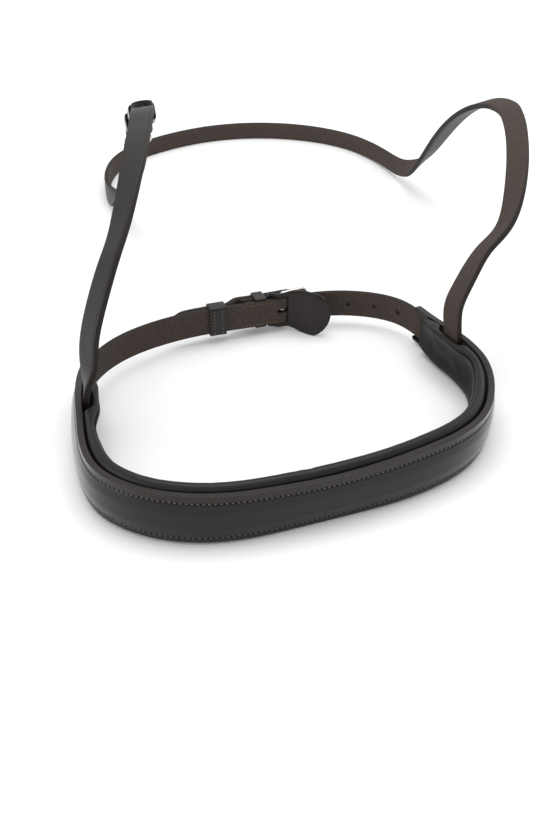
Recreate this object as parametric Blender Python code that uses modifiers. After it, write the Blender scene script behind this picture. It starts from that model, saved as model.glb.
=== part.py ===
"""Raised, padded cavesson noseband with its head strap, modelled piece by piece.

Every leather piece follows a route: a smooth line with a frame at each point, made of
the tangent, the width direction and the grain side. A place on a piece is (s, w, n):
the distance along the route, across the strap, and out towards the grain side.
The origin is the middle of the nosepiece's lining, on its flat lower edge.
+X runs to the wearer's left cheek side, +Y to the chin buckle, +Z up to the poll.
"""
import math

import bmesh
import bpy
import numpy as np
from mathutils import Matrix, Vector

MM = 0.001

# Whole noseband
LOOP_HALF_WIDTH = 103 * MM
LOOP_HALF_DEPTH = 84 * MM
LAYER_GAP = 0.3 * MM
STATION_STEP = 6 * MM
ROUTE_STEP = 0.5 * MM
CUT_OVERRUN = 1.5 * MM

# The loop seen from above, as shares of its half width and half depth
LOOP_PLAN_SHARES = [
    (0.0, -0.963), (0.573, -0.828), (0.858, -0.498), (0.994, -0.117), (0.912, 0.393),
    (0.81, 0.762), (0.481, 0.976), (0.09, 0.966), (-0.294, 0.944), (-0.742, 0.746),
    (-0.948, 0.343), (-1.0, -0.239), (-0.966, -0.661), (-0.595, -0.986),
]

# How the nosepiece leaves that plan: distance from its middle and its foot's step out,
# both as shares of the loop's half width, and how far its top leans out, by a tangent
NOSE_SHAPE_SHARES = [
    (-2.20, 0.000, 0.000), (-2.00, 0.008, -0.020), (-1.85, 0.021, -0.070),
    (-1.70, 0.034, -0.115), (-1.55, 0.041, -0.130), (-1.43, 0.041, -0.120),
    (-1.30, 0.033, -0.080), (-1.18, 0.020, -0.045), (-1.06, 0.010, -0.025),
    (-0.92, 0.007, -0.030), (-0.78, 0.010, -0.040), (-0.58, 0.011, -0.040),
    (-0.39, 0.009, -0.005), (-0.20, 0.008, 0.047), (-0.06, 0.010, 0.088),
    (0.08, 0.015, 0.100), (0.20, 0.018, 0.077), (0.31, 0.021, 0.040),
    (0.43, 0.019, 0.010), (0.54, 0.015, 0.005), (0.64, 0.013, 0.022),
    (0.75, 0.017, 0.045), (0.85, 0.023, 0.062), (0.96, 0.024, 0.062),
    (1.07, 0.017, 0.045), (1.18, 0.008, 0.010), (1.30, -0.003, -0.020),
    (1.43, -0.010, -0.030), (1.55, -0.011, -0.020), (1.75, -0.007, -0.010),
    (1.95, -0.003, 0.000), (2.14, 0.000, 0.000),
]

# Nosepiece, measured along the loop from its middle
NOSE_MIDDLE_OFFSET = -7 * MM
BAND_PAST_LINING = 11 * MM
BAND_HALF_HEIGHT = 12.5 * MM
BAND_END_TOP = 10.0 * MM
BAND_END_FOOT = 11.6 * MM
BAND_TAPER_LENGTH = 50 * MM
BAND_THICKNESS = 1.8 * MM
BAND_CORNER = 1.8 * MM
RAISE_FOOT_WIDTH = 1.1 * MM
RAISE_SIDE_CLEARANCE = 0.3 * MM
RAISE_CROWN = 0.3 * MM
BACKING_THICKNESS = 1.4 * MM
BACKING_EDGE_INSET = 0.4 * MM
BACKING_PAST_LINING = 2 * MM
FILLER_THICKNESS = 1.0 * MM

# Padded lining
LINING_PAST_SLOT = 28 * MM
LINING_THINNING_LENGTH = 62 * MM
LINING_HALF_HEIGHT = 14.2 * MM
LINING_ROLL_RADIUS = 3.6 * MM
LINING_THIN_HALF_HEIGHT = 12.6 * MM
LINING_THIN_ROLL_RADIUS = 1.8 * MM
LINING_END_HALF_HEIGHT = 9.0 * MM
LINING_END_ROLL_RADIUS = 1.5 * MM
LINING_DISH = 1.9 * MM
LINING_SLIT_HALF = 3.2 * MM
LINING_REST_FLAT = 0.5 * MM
LINING_SKIN = 1.0 * MM

# Pockets between band and lining that take the head strap's two ends
SLOT_OFFSET = 166 * MM
POCKET_ROOM = 0.3 * MM
POCKET_HALF_LENGTH = 8 * MM
POCKET_EASE = 13 * MM
POCKET_FULL_DOWN_TO = 3.5 * MM
POCKET_CLOSED_FROM = -9 * MM
POCKET_SEAT_GAP = 0.7 * MM
STRAP_END_DEPTH = 3 * MM
PIVOT_BELOW_TOP = 6 * MM

# Rear straps and the chin buckle
REAR_WIDTH = 16 * MM
REAR_THICKNESS = 2.6 * MM
REAR_SEWN_LENGTH = 26 * MM
REAR_SKIVE_LENGTH = 9 * MM
CHIN_BAR_FROM_REAR = 22.138 * MM
CHIN_TIP_PAST_BAR = 65.5 * MM
CHIN_TURN_BACK = 25 * MM
CHIN_FRAME_REACH = 15.5 * MM
CHIN_WIRE_RADIUS = 1.1 * MM
CHIN_KEEPER_AT = 13.3 * MM
CHIN_RUNNER_AT = 39.3 * MM

# Guard behind the chin buckle
GUARD_THICKNESS = 1.5 * MM
GUARD_RADIUS = 13.5 * MM
GUARD_CENTRE = 12.5 * MM
GUARD_NECK_LENGTH = 22 * MM
GUARD_NECK_HALF = 7.4 * MM
GUARD_SHOULDER = 1.8 * MM
GUARD_RAIL = 2.6 * MM
GUARD_WINDOW_BACK = 8 * MM
GUARD_WINDOW_FRONT = 4.4 * MM
GUARD_LEAN = 11.5 * MM
GUARD_LEAN_LENGTH = 15 * MM

# Head strap and its buckle
HEAD_WIDTH = 12.6 * MM
HEAD_THICKNESS = 3.4 * MM
HEAD_REACH = 390 * MM
HEAD_RISE = 124 * MM
HEAD_BAR_AT = 276 * MM
HEAD_TIP_PAST_BAR = 62 * MM
HEAD_TURN_BACK = 24 * MM
HEAD_FRAME_REACH = 14 * MM
HEAD_WIRE_RADIUS = 1.1 * MM
HEAD_KEEPER_AT = 13 * MM
HEAD_RUNNER_AT = 40 * MM
HEAD_FLOOR_CLEARANCE = 0.2 * MM

# What both buckles share
SIDE_CLEARANCE = 0.3 * MM
FRAME_CORNER = 3.0 * MM
TONGUE_RADIUS = 0.8 * MM
TONGUE_RUNNING_GAP = 0.2 * MM
TONGUE_PAST_FRAME = 1.8 * MM
TONGUE_SLOT_HALF = 1.5 * MM
TIP_LENGTH = 9 * MM
TIP_HALF_WIDTH = 1.6 * MM
RAMP_LENGTH = 9 * MM
KEEPER_WIDTH = 6.8 * MM
RUNNER_WIDTH = 11 * MM
KEEPER_WALL = 1.0 * MM
KEEPER_ROOM = 0.3 * MM
RUNNER_ROOM = 0.6 * MM
KEEPER_CORNER = 1.2 * MM

# Punched holes
HOLE_PITCH = 15 * MM
HOLE_RADIUS = 1.1 * MM
TONGUE_HOLE_AT = 8.9 * MM
TONGUE_HOLE_HALF_LENGTH = 3.6 * MM
CHIN_HOLES_AHEAD = 4
CHIN_HOLES_BEHIND = 2
HEAD_HOLES_AHEAD = 6
HEAD_HOLES_BEHIND = 2

# The head strap's route: x as a share of the loop's half width, y of the head
# strap's reach, z of its rise (on the floor: the lift there), then its grain side.
# Each rise has its pocket's mouth at its outer end, and goes along with it.
LEFT_RISE_SHARES = [
    (-0.9646, 0.0164, 0.2247, -0.983, 0.136, 0.126),
    (-0.939, 0.025, 0.323, -0.91, -0.41, 0.0), (-0.921, 0.029, 0.432, -0.89, -0.44, 0.1),
    (-0.860, 0.036, 0.593, -0.88, -0.43, 0.2), (-0.785, 0.054, 0.720, -0.82, -0.38, 0.43),
    (-0.713, 0.085, 0.798, -0.73, -0.29, 0.62), (-0.596, 0.159, 0.935, -0.44, -0.22, 0.87),
    (-0.474, 0.269, 1.0, -0.16, -0.01, 0.98), (-0.394, 0.385, 0.90, -0.03, 0.45, 0.9),
    (-0.37, 0.487, 0.66, -0.05, 0.65, 0.75), (-0.37, 0.569, 0.40, -0.05, 0.7, 0.7),
    (-0.41, 0.641, 0.175, -0.45, 0.6, 0.6),
]
FLOOR_SHARES = [
    (-0.45, 0.705, 0.03, -0.9, 0.25, 0.15), (-0.45, 0.782, 0.01, -1.0, 0.0, 0.0),
    (-0.29, 0.897, 0.0, -0.85, 0.5, 0.0), (0.10, 0.969, 0.0, -0.4, 0.9, 0.0),
    (0.58, 0.995, 0.0, 0.0, 1.0, 0.0), (1.07, 0.962, 0.0, 0.5, 0.87, 0.0),
    (1.44, 0.877, 0.0, 0.87, 0.5, 0.0), (1.58, 0.769, 0.01, 1.0, 0.1, 0.0),
    (1.61, 0.692, 0.04, 0.95, -0.2, -0.15),
]
RIGHT_RISE_SHARES = [
    (1.63, 0.623, 0.21, 0.6, -0.55, -0.55), (1.64, 0.546, 0.45, 0.2, -0.68, -0.7),
    (1.65, 0.449, 0.71, 0.15, -0.55, -0.82), (1.655, 0.333, 0.855, 0.23, -0.18, -0.95),
    (1.54, 0.218, 0.823, 0.42, 0.01, -0.91), (1.393, 0.133, 0.71, 0.63, 0.01, -0.77),
    (1.268, 0.090, 0.595, 0.82, -0.08, -0.57), (1.141, 0.072, 0.535, 0.89, 0.02, -0.46),
    (1.048, 0.056, 0.475, 0.94, 0.15, -0.31), (0.982, 0.046, 0.403, 0.97, 0.2, -0.15),
    (0.935, 0.038, 0.324, 0.96, 0.29, 0.0),
    (0.9296, 0.0292, 0.2252, 0.974, 0.224, 0.016),
]

COLOURS = {
    "grain": ((0.020, 0.016, 0.014), 0.42, 0.0),
    "soft": ((0.014, 0.014, 0.015), 0.55, 0.0),
    "flesh": ((0.045, 0.026, 0.020), 0.85, 0.0),
    "foam": ((0.10, 0.10, 0.11), 0.95, 0.0),
    "steel": ((0.62, 0.61, 0.58), 0.22, 1.0),
}


def unit(vectors):
    """Each row scaled to length one."""
    return vectors / np.linalg.norm(vectors, axis=-1, keepdims=True)


def ease(value):
    """A smooth step from 0 to 1 as the value goes from 0 to 1."""
    t = np.clip(value, 0.0, 1.0)
    return t * t * (3 - 2 * t)


def blend(low, high, share):
    """The value that lies the given share of the way from low to high."""
    return low + (high - low) * share


def spline_through(points, closed, per_span=60):
    """Points on the cubic spline that passes through the given ones, evenly in time."""
    points = np.asarray(points, float)
    knots = np.vstack([points, points[:1]]) if closed else points
    chord = np.sqrt(np.linalg.norm(np.diff(knots[:, :3], axis=0), axis=1))
    count = len(knots)
    system = np.zeros((count, count))
    right = np.zeros((count, knots.shape[1]))
    slope = np.diff(knots, axis=0) / chord[:, None]
    for i in range(1, count - 1):
        system[i, i - 1:i + 2] = chord[i - 1], 2 * (chord[i - 1] + chord[i]), chord[i]
        right[i] = 6 * (slope[i] - slope[i - 1])
    system[0, 0] = system[-1, -1] = 1.0
    if closed:
        system[0] = 0
        system[0, :2] = 2 * (chord[-1] + chord[0]), chord[0]
        system[0, -2] = chord[-1]
        right[0] = 6 * (slope[0] - slope[-1])
        system[-1, 0] = -1.0
    bend = np.linalg.solve(system, right)
    time = np.linspace(0, 1, per_span, endpoint=False)[:, None]
    spans = []
    for i in range(count - 1):
        step = chord[i]
        curve_part = ((1 - time) ** 3 * bend[i] + time ** 3 * bend[i + 1]) * step ** 2 / 6
        line_part = ((1 - time) * (knots[i] - bend[i] * step ** 2 / 6)
                     + time * (knots[i + 1] - bend[i + 1] * step ** 2 / 6))
        spans.append(curve_part + line_part)
    return np.vstack(spans + [knots[-1:]])


class Route:
    """A smooth line through space that carries a frame: along, across and grain side."""

    def __init__(self, points, grain_sides=None, closed=False):
        if grain_sides is None:
            dense = spline_through(points, closed)
            sides = None
        else:
            dense = spline_through(np.hstack([points, grain_sides]), closed)
            dense, sides = dense[:, :3], dense[:, 3:]
        steps = np.linalg.norm(np.diff(dense, axis=0), axis=1)
        travelled = np.concatenate([[0], np.cumsum(steps)])
        self.length = travelled[-1]
        self.closed = closed
        self.table = np.linspace(0, self.length, int(self.length / ROUTE_STEP) + 2)
        self.points = self._resample(travelled, dense)
        if closed:
            self._face_out()
        else:
            self.tangents = unit(np.gradient(self.points, axis=0))
            raw = self._resample(travelled, sides)
            along = np.sum(raw * self.tangents, axis=1, keepdims=True)
            self.sides = unit(raw - along * self.tangents)
            self.widths = np.cross(self.sides, self.tangents)

    def _face_out(self):
        """Frames of a level ring, its grain side square to it and outwards."""
        ahead = np.roll(self.points[:-1], -1, axis=0)
        behind = np.roll(self.points[:-1], 1, axis=0)
        self.tangents = unit(np.vstack([ahead - behind, (ahead - behind)[:1]]))
        self.sides = unit(np.cross(self.tangents, np.array([0.0, 0.0, 1.0])))
        self.widths = np.cross(self.sides, self.tangents)

    def _resample(self, travelled, values):
        columns = [np.interp(self.table, travelled, column) for column in values.T]
        return np.stack(columns, axis=1)

    def _read(self, values, s):
        s = np.asarray(s, float)
        if self.closed:
            s = np.mod(s, self.length)
        columns = [np.interp(s, self.table, column) for column in values.T]
        return np.stack(columns, axis=-1)

    def at(self, s, w, n):
        """World places of route places: along, across and out to the grain side."""
        across = unit(self._read(self.widths, s))
        out = unit(self._read(self.sides, s))
        w = np.asarray(w, float)[..., None]
        n = np.asarray(n, float)[..., None]
        return self._read(self.points, s) + w * across + n * out

    def matrix(self, s, n=0.0):
        """A frame on the route: local X along, Y across the strap, Z to the grain side."""
        place = self.at(s, 0.0, n)
        along = unit(self._read(self.tangents, s))
        out = unit(self._read(self.sides, s))
        out = unit(out - along * np.dot(out, along))
        across = np.cross(out, along)
        frame = np.eye(4)
        frame[:3, 0], frame[:3, 1], frame[:3, 2], frame[:3, 3] = along, across, out, place
        return Matrix(frame.tolist())

    def shift(self, offset):
        self.points = self.points + offset

    def step_out(self, distance):
        """Move each place of a level ring out by its own distance."""
        self.points = self.points + self.sides * distance[:, None]
        self._face_out()

    def lean(self, share, depth, height):
        """Tip each section out, by a tangent, about a point inside and below its middle."""
        angle = np.arctan(share)[:, None]
        out, up = self.sides, np.array([[0.0, 0.0, 1.0]])
        turn, loss = np.sin(angle), np.cos(angle) - 1
        self.points = (self.points + out * (depth * loss + height * turn)
                       + up * (height * loss - depth * turn))
        self.sides = unit(out * (1 + loss) - up * turn)
        self.widths = unit(np.cross(self.sides, self.tangents))


# Lengths along the nosepiece, from its middle
LINING_THIN_HALF_LENGTH = SLOT_OFFSET + POCKET_HALF_LENGTH / 2
LINING_FULL_HALF_LENGTH = LINING_THIN_HALF_LENGTH - LINING_THINNING_LENGTH
LINING_HALF_LENGTH = SLOT_OFFSET + LINING_PAST_SLOT
FOAM_HALF_LENGTH = (LINING_FULL_HALF_LENGTH + LINING_THIN_HALF_LENGTH) / 2
FILLER_HALF_LENGTH = LINING_HALF_LENGTH - REAR_SEWN_LENGTH
BAND_HALF_LENGTH = LINING_HALF_LENGTH + BAND_PAST_LINING

# Heights and layers that the pieces share
MIDDLE_Z = LINING_HALF_HEIGHT - LINING_REST_FLAT
FILLER_FLOOR = BACKING_THICKNESS + LAYER_GAP
MARGIN_INNER = FILLER_FLOOR
RAISED_INNER = FILLER_FLOOR + FILLER_THICKNESS + LAYER_GAP
RAISED_HALF = REAR_WIDTH / 2 + RAISE_SIDE_CLEARANCE
FOOT_HALF = RAISED_HALF + RAISE_FOOT_WIDTH
LINING_MIDDLE = -(LAYER_GAP + LINING_ROLL_RADIUS)
POCKET_DEPTH = HEAD_THICKNESS + POCKET_SEAT_GAP + POCKET_ROOM
STRAP_MIDDLE = -(POCKET_SEAT_GAP + HEAD_THICKNESS / 2)


def loop_route():
    """The seam plane between the band and its lining, all the way round the loop."""
    sizes = np.array([LOOP_HALF_WIDTH, LOOP_HALF_DEPTH])
    plan = np.array(LOOP_PLAN_SHARES) * sizes
    middle = np.full((len(plan), 1), MIDDLE_Z)
    route = Route(np.hstack([plan, middle]), closed=True)
    from_nose = (route.table - NOSE_MIDDLE_OFFSET + route.length / 2) % route.length
    away = (from_nose - route.length / 2) / LOOP_HALF_WIDTH
    place, foot, lean = spline_through(NOSE_SHAPE_SHARES, False).T
    route.step_out(np.interp(away, place, foot) * LOOP_HALF_WIDTH)
    front = route.at(NOSE_MIDDLE_OFFSET, 0.0, LINING_MIDDLE)
    offset = np.array([-front[0], -front[1], 0.0])
    route.shift(offset)
    route.lean(np.interp(away, place, lean), -LINING_MIDDLE, MIDDLE_Z)
    return route, offset


LOOP, TO_ORIGIN = loop_route()
CHIN_BAR_AT = LOOP.length / 2 - CHIN_BAR_FROM_REAR


def on_loop(u):
    """Distance along the loop for a distance from the nosepiece's middle."""
    return NOSE_MIDDLE_OFFSET + u


def slot_rows(side, heights):
    """Places and grain side of the head strap's end in its pocket, at given heights."""
    s = on_loop(side * SLOT_OFFSET)
    out = unit(LOOP.at(s, 0.0, LAYER_GAP) - LOOP.at(s, 0.0, 0.0))
    return [(*LOOP.at(s, z - MIDDLE_Z, STRAP_MIDDLE), *out) for z in heights]


def head_route():
    """Up out of one pocket, over to the table behind, round on edge, and back."""
    top = 2 * LINING_HALF_HEIGHT - LINING_REST_FLAT
    pivot = top - PIVOT_BELOW_TOP
    heights = (pivot - STRAP_END_DEPTH, pivot, top)
    left, right = slot_rows(-1, heights), slot_rows(1, heights)
    rise = np.array([LOOP_HALF_WIDTH, HEAD_REACH, HEAD_RISE])
    edge_half = HEAD_WIDTH / 2 + HEAD_FLOOR_CLEARANCE

    def risen(shares, mouth, end):
        rows = np.array(shares)
        rows[:, :3] = rows[:, :3] * rise + TO_ORIGIN
        stays = abs(np.linspace(0.0, 1.0, len(rows)) - end)
        rows[:, :3] += (1 - stays)[:, None] * (mouth - rows[-end, :3])
        return rows

    floor = np.array(FLOOR_SHARES)
    floor[:, :3] = floor[:, :3] * rise + TO_ORIGIN + [0.0, 0.0, edge_half]
    rows = np.vstack([
        left[:2], risen(LEFT_RISE_SHARES, np.array(left[2][:3]), 0), floor,
        risen(RIGHT_RISE_SHARES, np.array(right[2][:3]), 1), right[1::-1]])
    pivots = np.array([left[1], right[1]])
    return Route(rows[:, :3], rows[:, 3:]), pivots[:, 1].mean(), pivots[:, 2].mean()


HEAD, PIVOT_Y, PIVOT_Z = head_route()
HEAD_PIVOT = Vector((0.0, PIVOT_Y, PIVOT_Z))


class Buckle:
    """One buckle on a route: the layers that lie over its bar and where they run.

    q is the distance from the bar towards the free strap's own end, so the frame
    reaches to +q, and the overlap with the keepers lies at -q."""

    def __init__(self, route, bar_at, side, sizes):
        self.route, self.bar_at, self.side = route, bar_at, side
        (self.width, self.thickness, self.guard, self.wire, self.reach,
         self.turn_back, self.tip_at) = sizes
        guard_room = self.guard + LAYER_GAP if self.guard else 0.0
        self.back_low = self.thickness + LAYER_GAP + guard_room
        self.back_high = self.back_low + self.thickness
        self.bar_n = self.back_high / 2
        self.fold = self.wire + LAYER_GAP + self.thickness / 2
        self.over = max(self.back_high, self.bar_n + self.fold + self.thickness / 2)
        self.over += LAYER_GAP
        self.cross_n = self.thickness + 2 * LAYER_GAP + 1.5 * self.wire

    def s(self, q):
        return self.bar_at + self.side * q

    def free_low(self, q):
        """Height of the free strap's flesh side over the route."""
        q = np.asarray(q, float)
        over_bar = 1.6 * self.fold
        climb = ease((self.reach - self.wire - q) / (self.reach - self.wire - over_bar))
        high = self.over * climb
        lap = self.thickness + LAYER_GAP
        drop = ease((-q - self.turn_back - LAYER_GAP) / RAMP_LENGTH)
        return np.where(q > 0, high, blend(self.over, lap, drop))

    def matrix(self):
        return self.route.matrix(self.bar_at, self.bar_n)


def collection(name):
    made = bpy.data.collections.new(name)
    bpy.context.scene.collection.children.link(made)
    return made


def clear_scene():
    for item in list(bpy.data.objects):
        bpy.data.objects.remove(item, do_unlink=True)


clear_scene()
PARTS = collection("cavesson_noseband")
CUTTERS = collection("cutters")


def material(name, kind):
    colour, roughness, metallic = COLOURS[kind]
    made = bpy.data.materials.new(name)
    made.use_nodes = True
    shader = made.node_tree.nodes["Principled BSDF"]
    shader.inputs["Base Color"].default_value = (*colour, 1.0)
    shader.inputs["Roughness"].default_value = roughness
    shader.inputs["Metallic"].default_value = metallic
    made.diffuse_color = (*colour, 1.0)
    return made


def add_object(name, data, kind, origin=None):
    """Put mesh or curve data in the parts collection, its origin on a joint if given."""
    thing = bpy.data.objects.new(name, data)
    PARTS.objects.link(thing)
    data.materials.append(material(name, kind))
    if origin is not None:
        data.transform(Matrix.Translation(-Vector(origin)))
        thing.location = origin
    return thing


def loft(name, rings, kind, origin=None):
    """A closed solid through a row of rings, whose points go round the same way."""
    rings = np.asarray(rings)
    count, sides = rings.shape[:2]
    faces = []
    for i in range(count - 1):
        for j in range(sides):
            k = (j + 1) % sides
            faces.append((i * sides + j, (i + 1) * sides + j,
                          (i + 1) * sides + k, i * sides + k))
    faces.append(tuple(range(sides)))
    faces.append(tuple((count - 1) * sides + j for j in reversed(range(sides))))
    data = bpy.data.meshes.new(name)
    data.from_pydata(rings.reshape(-1, 3).tolist(), [], faces)
    fix = bmesh.new()
    fix.from_mesh(data)
    bmesh.ops.recalc_face_normals(fix, faces=fix.faces)
    fix.to_mesh(data)
    fix.free()
    return add_object(name, data, kind, origin)


def strip(name, route, track, half_width, thickness, kind, origin=None, middle=0.0):
    """A leather strip: its track is a line of (s, n), its section a plain rectangle."""
    track = np.asarray(track, float)
    along = unit(np.gradient(track, axis=0))
    square = np.stack([-along[:, 1], along[:, 0]], axis=1)
    half = np.broadcast_to(np.asarray(thickness, float) / 2, len(track))[:, None]
    wide = np.broadcast_to(np.asarray(half_width, float), len(track))
    low, high = track - square * half, track + square * half
    corners = [(low, -wide), (low, wide), (high, wide), (high, -wide)]
    rings = [route.at(line[:, 0], middle + w, line[:, 1]) for line, w in corners]
    return loft(name, np.stack(rings, axis=1), kind, origin)


def stations(start, end, step=STATION_STEP):
    count = max(2, int(math.ceil(abs(end - start) / step)) + 1)
    return np.linspace(start, end, count)


def sheet(name, route, s_values, place, rows, thickness, side, kind):
    """A grid bent to the route and given its thickness; place gives (w, n) at (s, row)."""
    grid = bmesh.new()
    spans, lanes = len(s_values) - 1, len(rows) - 1
    bmesh.ops.create_grid(grid, x_segments=spans, y_segments=lanes, size=1.0)
    for vertex in grid.verts:
        i = round((vertex.co.x + 1) / 2 * spans)
        j = round((vertex.co.y + 1) / 2 * lanes)
        s, w, n = place(s_values[i], rows[j])
        vertex.co = Vector(route.at(s, w, n))
    data = bpy.data.meshes.new(name)
    grid.to_mesh(data)
    grid.free()
    thing = add_object(name, data, kind)
    solid = thing.modifiers.new("thickness", "SOLIDIFY")
    solid.thickness = thickness
    solid.offset = side
    solid.use_even_offset = True
    return thing


def cutter_box(name, low, high, matrix):
    """A box cutter between two corners in the matrix's frame."""
    shape = bmesh.new()
    bmesh.ops.create_cube(shape, size=1.0)
    low, high = Vector(low), Vector(high)
    for vertex in shape.verts:
        share = vertex.co + Vector((0.5, 0.5, 0.5))
        vertex.co = Vector(blend(a, b, t) for a, b, t in zip(low, high, share))
    return cutter_from(name, shape, matrix)


def cutter_hole(name, radius, half_length, depth, matrix):
    """A round punch, or an oval one whose two round ends lie half_length apart."""
    shape = bmesh.new()
    bmesh.ops.create_cone(shape, cap_ends=True, segments=16, radius1=radius,
                          radius2=radius, depth=depth)
    stretch = half_length - radius
    for vertex in shape.verts:
        if abs(vertex.co.x) > radius / 4:
            vertex.co.x += math.copysign(stretch, vertex.co.x)
    return cutter_from(name, shape, matrix)


def cutter_from(name, shape, matrix):
    data = bpy.data.meshes.new(name)
    shape.to_mesh(data)
    shape.free()
    thing = bpy.data.objects.new(name, data)
    thing.matrix_world = matrix
    thing.hide_render = True
    thing.display_type = "WIRE"
    CUTTERS.objects.link(thing)
    return thing


def cut(thing, cutter):
    """Take the cutter's shape out of a piece."""
    boolean = thing.modifiers.new(cutter.name, "BOOLEAN")
    boolean.operation = "DIFFERENCE"
    boolean.solver = "EXACT"
    boolean.object = cutter


def band_edges(u):
    """The band's top and lower edge over the loop's middle, drawn in towards each end."""
    past = (abs(u) - (BAND_HALF_LENGTH - BAND_TAPER_LENGTH)) / BAND_TAPER_LENGTH
    corner = (abs(u) - (BAND_HALF_LENGTH - BAND_CORNER)) / BAND_CORNER
    round_off = BAND_CORNER * (1 - np.sqrt(1 - np.clip(corner, 0.0, 1.0) ** 2)) * 0.6
    top = blend(BAND_HALF_HEIGHT, BAND_END_TOP, ease(past)) - round_off
    foot = blend(BAND_HALF_HEIGHT, BAND_END_FOOT, ease(past)) - round_off
    return top, -foot


def pocket_push(u):
    """How far the lining stands off the band, to leave a pocket for a strap end."""
    away = abs(abs(u) - SLOT_OFFSET) - POCKET_HALF_LENGTH
    return POCKET_DEPTH * (1 - ease(away / POCKET_EASE))


def nose_stations(half_length, end_step):
    """Even stations along the nosepiece, with one more close to each end."""
    inner = half_length - end_step
    return np.concatenate([[-half_length], stations(-inner, inner), [half_length]])


def front_band():
    """Outer leather, pressed up over its filler between two stitched margins."""
    lanes = [-2, -1.45, -1, -0.5, 0, 0.5, 1, 1.45, 2]

    def place(u, lane):
        edge = abs(band_edges(u)[0 if lane > 0 else 1])
        size = abs(lane)
        if size > 1.9:
            half, n = edge, MARGIN_INNER
        elif size > 1.2:
            half, n = min(FOOT_HALF, edge - BAND_CORNER / 5), MARGIN_INNER
        else:
            half, n = RAISED_HALF * size, RAISED_INNER + RAISE_CROWN * (1 - size * size)
        return on_loop(u), math.copysign(half, lane), n

    return sheet("front_band", LOOP, nose_stations(BAND_HALF_LENGTH, BAND_CORNER), place,
                 lanes, BAND_THICKNESS, 1.0, "grain")


def raised_filler():
    u = stations(-FILLER_HALF_LENGTH, FILLER_HALF_LENGTH)
    track = np.stack([on_loop(u), np.full(len(u), FILLER_FLOOR + FILLER_THICKNESS / 2)], 1)
    return strip("raised_filler", LOOP, track, REAR_WIDTH / 2, FILLER_THICKNESS, "flesh")


def backing_band():
    half_length = LINING_HALF_LENGTH + BACKING_PAST_LINING
    u = stations(-half_length, half_length)
    track = np.stack([on_loop(u), np.full(len(u), BACKING_THICKNESS / 2)], 1)
    top, foot = np.array([band_edges(value) for value in u]).T
    half = (top - foot) / 2 - BACKING_EDGE_INSET
    return strip("backing_band", LOOP, track, half, BACKING_THICKNESS, "flesh",
                 middle=(top + foot) / 2)


def lining_sizes(u):
    """Half height and roll radius of the lining, drawn in over its two ends."""
    thin = ease((abs(u) - LINING_FULL_HALF_LENGTH)
                / (LINING_THIN_HALF_LENGTH - LINING_FULL_HALF_LENGTH))
    past = max(0.0, abs(u) - LINING_THIN_HALF_LENGTH)
    past = (past / (LINING_HALF_LENGTH - LINING_THIN_HALF_LENGTH)) ** 2
    half = blend(blend(LINING_HALF_HEIGHT, LINING_THIN_HALF_HEIGHT, thin),
                 LINING_END_HALF_HEIGHT, past)
    roll = blend(blend(LINING_ROLL_RADIUS, LINING_THIN_ROLL_RADIUS, thin),
                 LINING_END_ROLL_RADIUS, past)
    return half, roll, past


def lining_outline(u, inset):
    """Section of the lining from its top lip round the horse's side to its lower lip:
    a roll at each edge and a dished middle."""
    half, roll, past = lining_sizes(u)
    middle = -(LAYER_GAP + roll)
    straight = half - roll
    turn = np.linspace(0, math.pi, 6)
    small = roll - inset
    top = np.stack([straight + small * np.sin(turn), middle + small * np.cos(turn)], 1)
    share = np.linspace(1, -1, 7)[1:-1]
    dish = LINING_DISH * (1 - past) * (1 - share ** 2) ** 2
    inner = np.stack([share * straight, middle - small + dish], 1)
    bottom = np.stack([-top[::-1, 0], top[::-1, 1]], 1)
    outline = np.vstack([top, inner, bottom])
    open_share = ease((outline[:, 0] - POCKET_CLOSED_FROM)
                      / (POCKET_FULL_DOWN_TO - POCKET_CLOSED_FROM))
    outline[:, 1] -= pocket_push(u) * open_share
    return outline


def lining_stations():
    """Places along the lining, closer together where it turns in to make a pocket."""
    flat, turned = SLOT_OFFSET - POCKET_HALF_LENGTH, SLOT_OFFSET + POCKET_HALF_LENGTH
    half = np.concatenate([
        stations(0.0, flat - POCKET_EASE)[:-1],
        stations(flat - POCKET_EASE, flat, POCKET_EASE / 5)[:-1],
        stations(flat, LINING_THIN_HALF_LENGTH)[:-1],
        stations(LINING_THIN_HALF_LENGTH, turned)[:-1],
        stations(turned, LINING_HALF_LENGTH, POCKET_EASE / 5)])
    return np.concatenate([-half[:0:-1], half])


def lining_cover():
    """Soft leather wrapped round the foam, its raw edges turned in behind it."""
    rows = list(range(len(lining_outline(0.0, 0.0)) + 2))
    last = len(rows) - 1

    def place(u, row):
        outline = lining_outline(u, 0.0)
        if row in (0, last):
            lip = LINING_SLIT_HALF if row == 0 else -LINING_SLIT_HALF
            return on_loop(u), lip, outline[0 if row == 0 else -1, 1]
        return on_loop(u), outline[row - 1, 0], outline[row - 1, 1]

    thing = sheet("lining_cover", LOOP, lining_stations(), place, rows, LINING_SKIN,
                  -1.0, "soft")
    stand_flat(thing.data, 0.0)
    return thing


def stand_flat(data, level):
    """Press what would go below a level flat, as the pad is where it stands."""
    for vertex in data.vertices:
        vertex.co.z = max(vertex.co.z, level)


def lining_foam():
    """The pad's foam core, clear of its cover all round and a little shorter."""
    places = lining_stations()
    places = places[abs(places) < FOAM_HALF_LENGTH]
    rings = []
    for u in places:
        outline = lining_outline(u, LINING_SKIN + 2 * LAYER_GAP)
        rings.append(LOOP.at(np.full(len(outline), on_loop(u)), outline[:, 0],
                             outline[:, 1]))
    thing = loft("lining_foam", rings, "foam")
    stand_flat(thing.data, LINING_SKIN + 2 * LAYER_GAP)
    return thing


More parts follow.
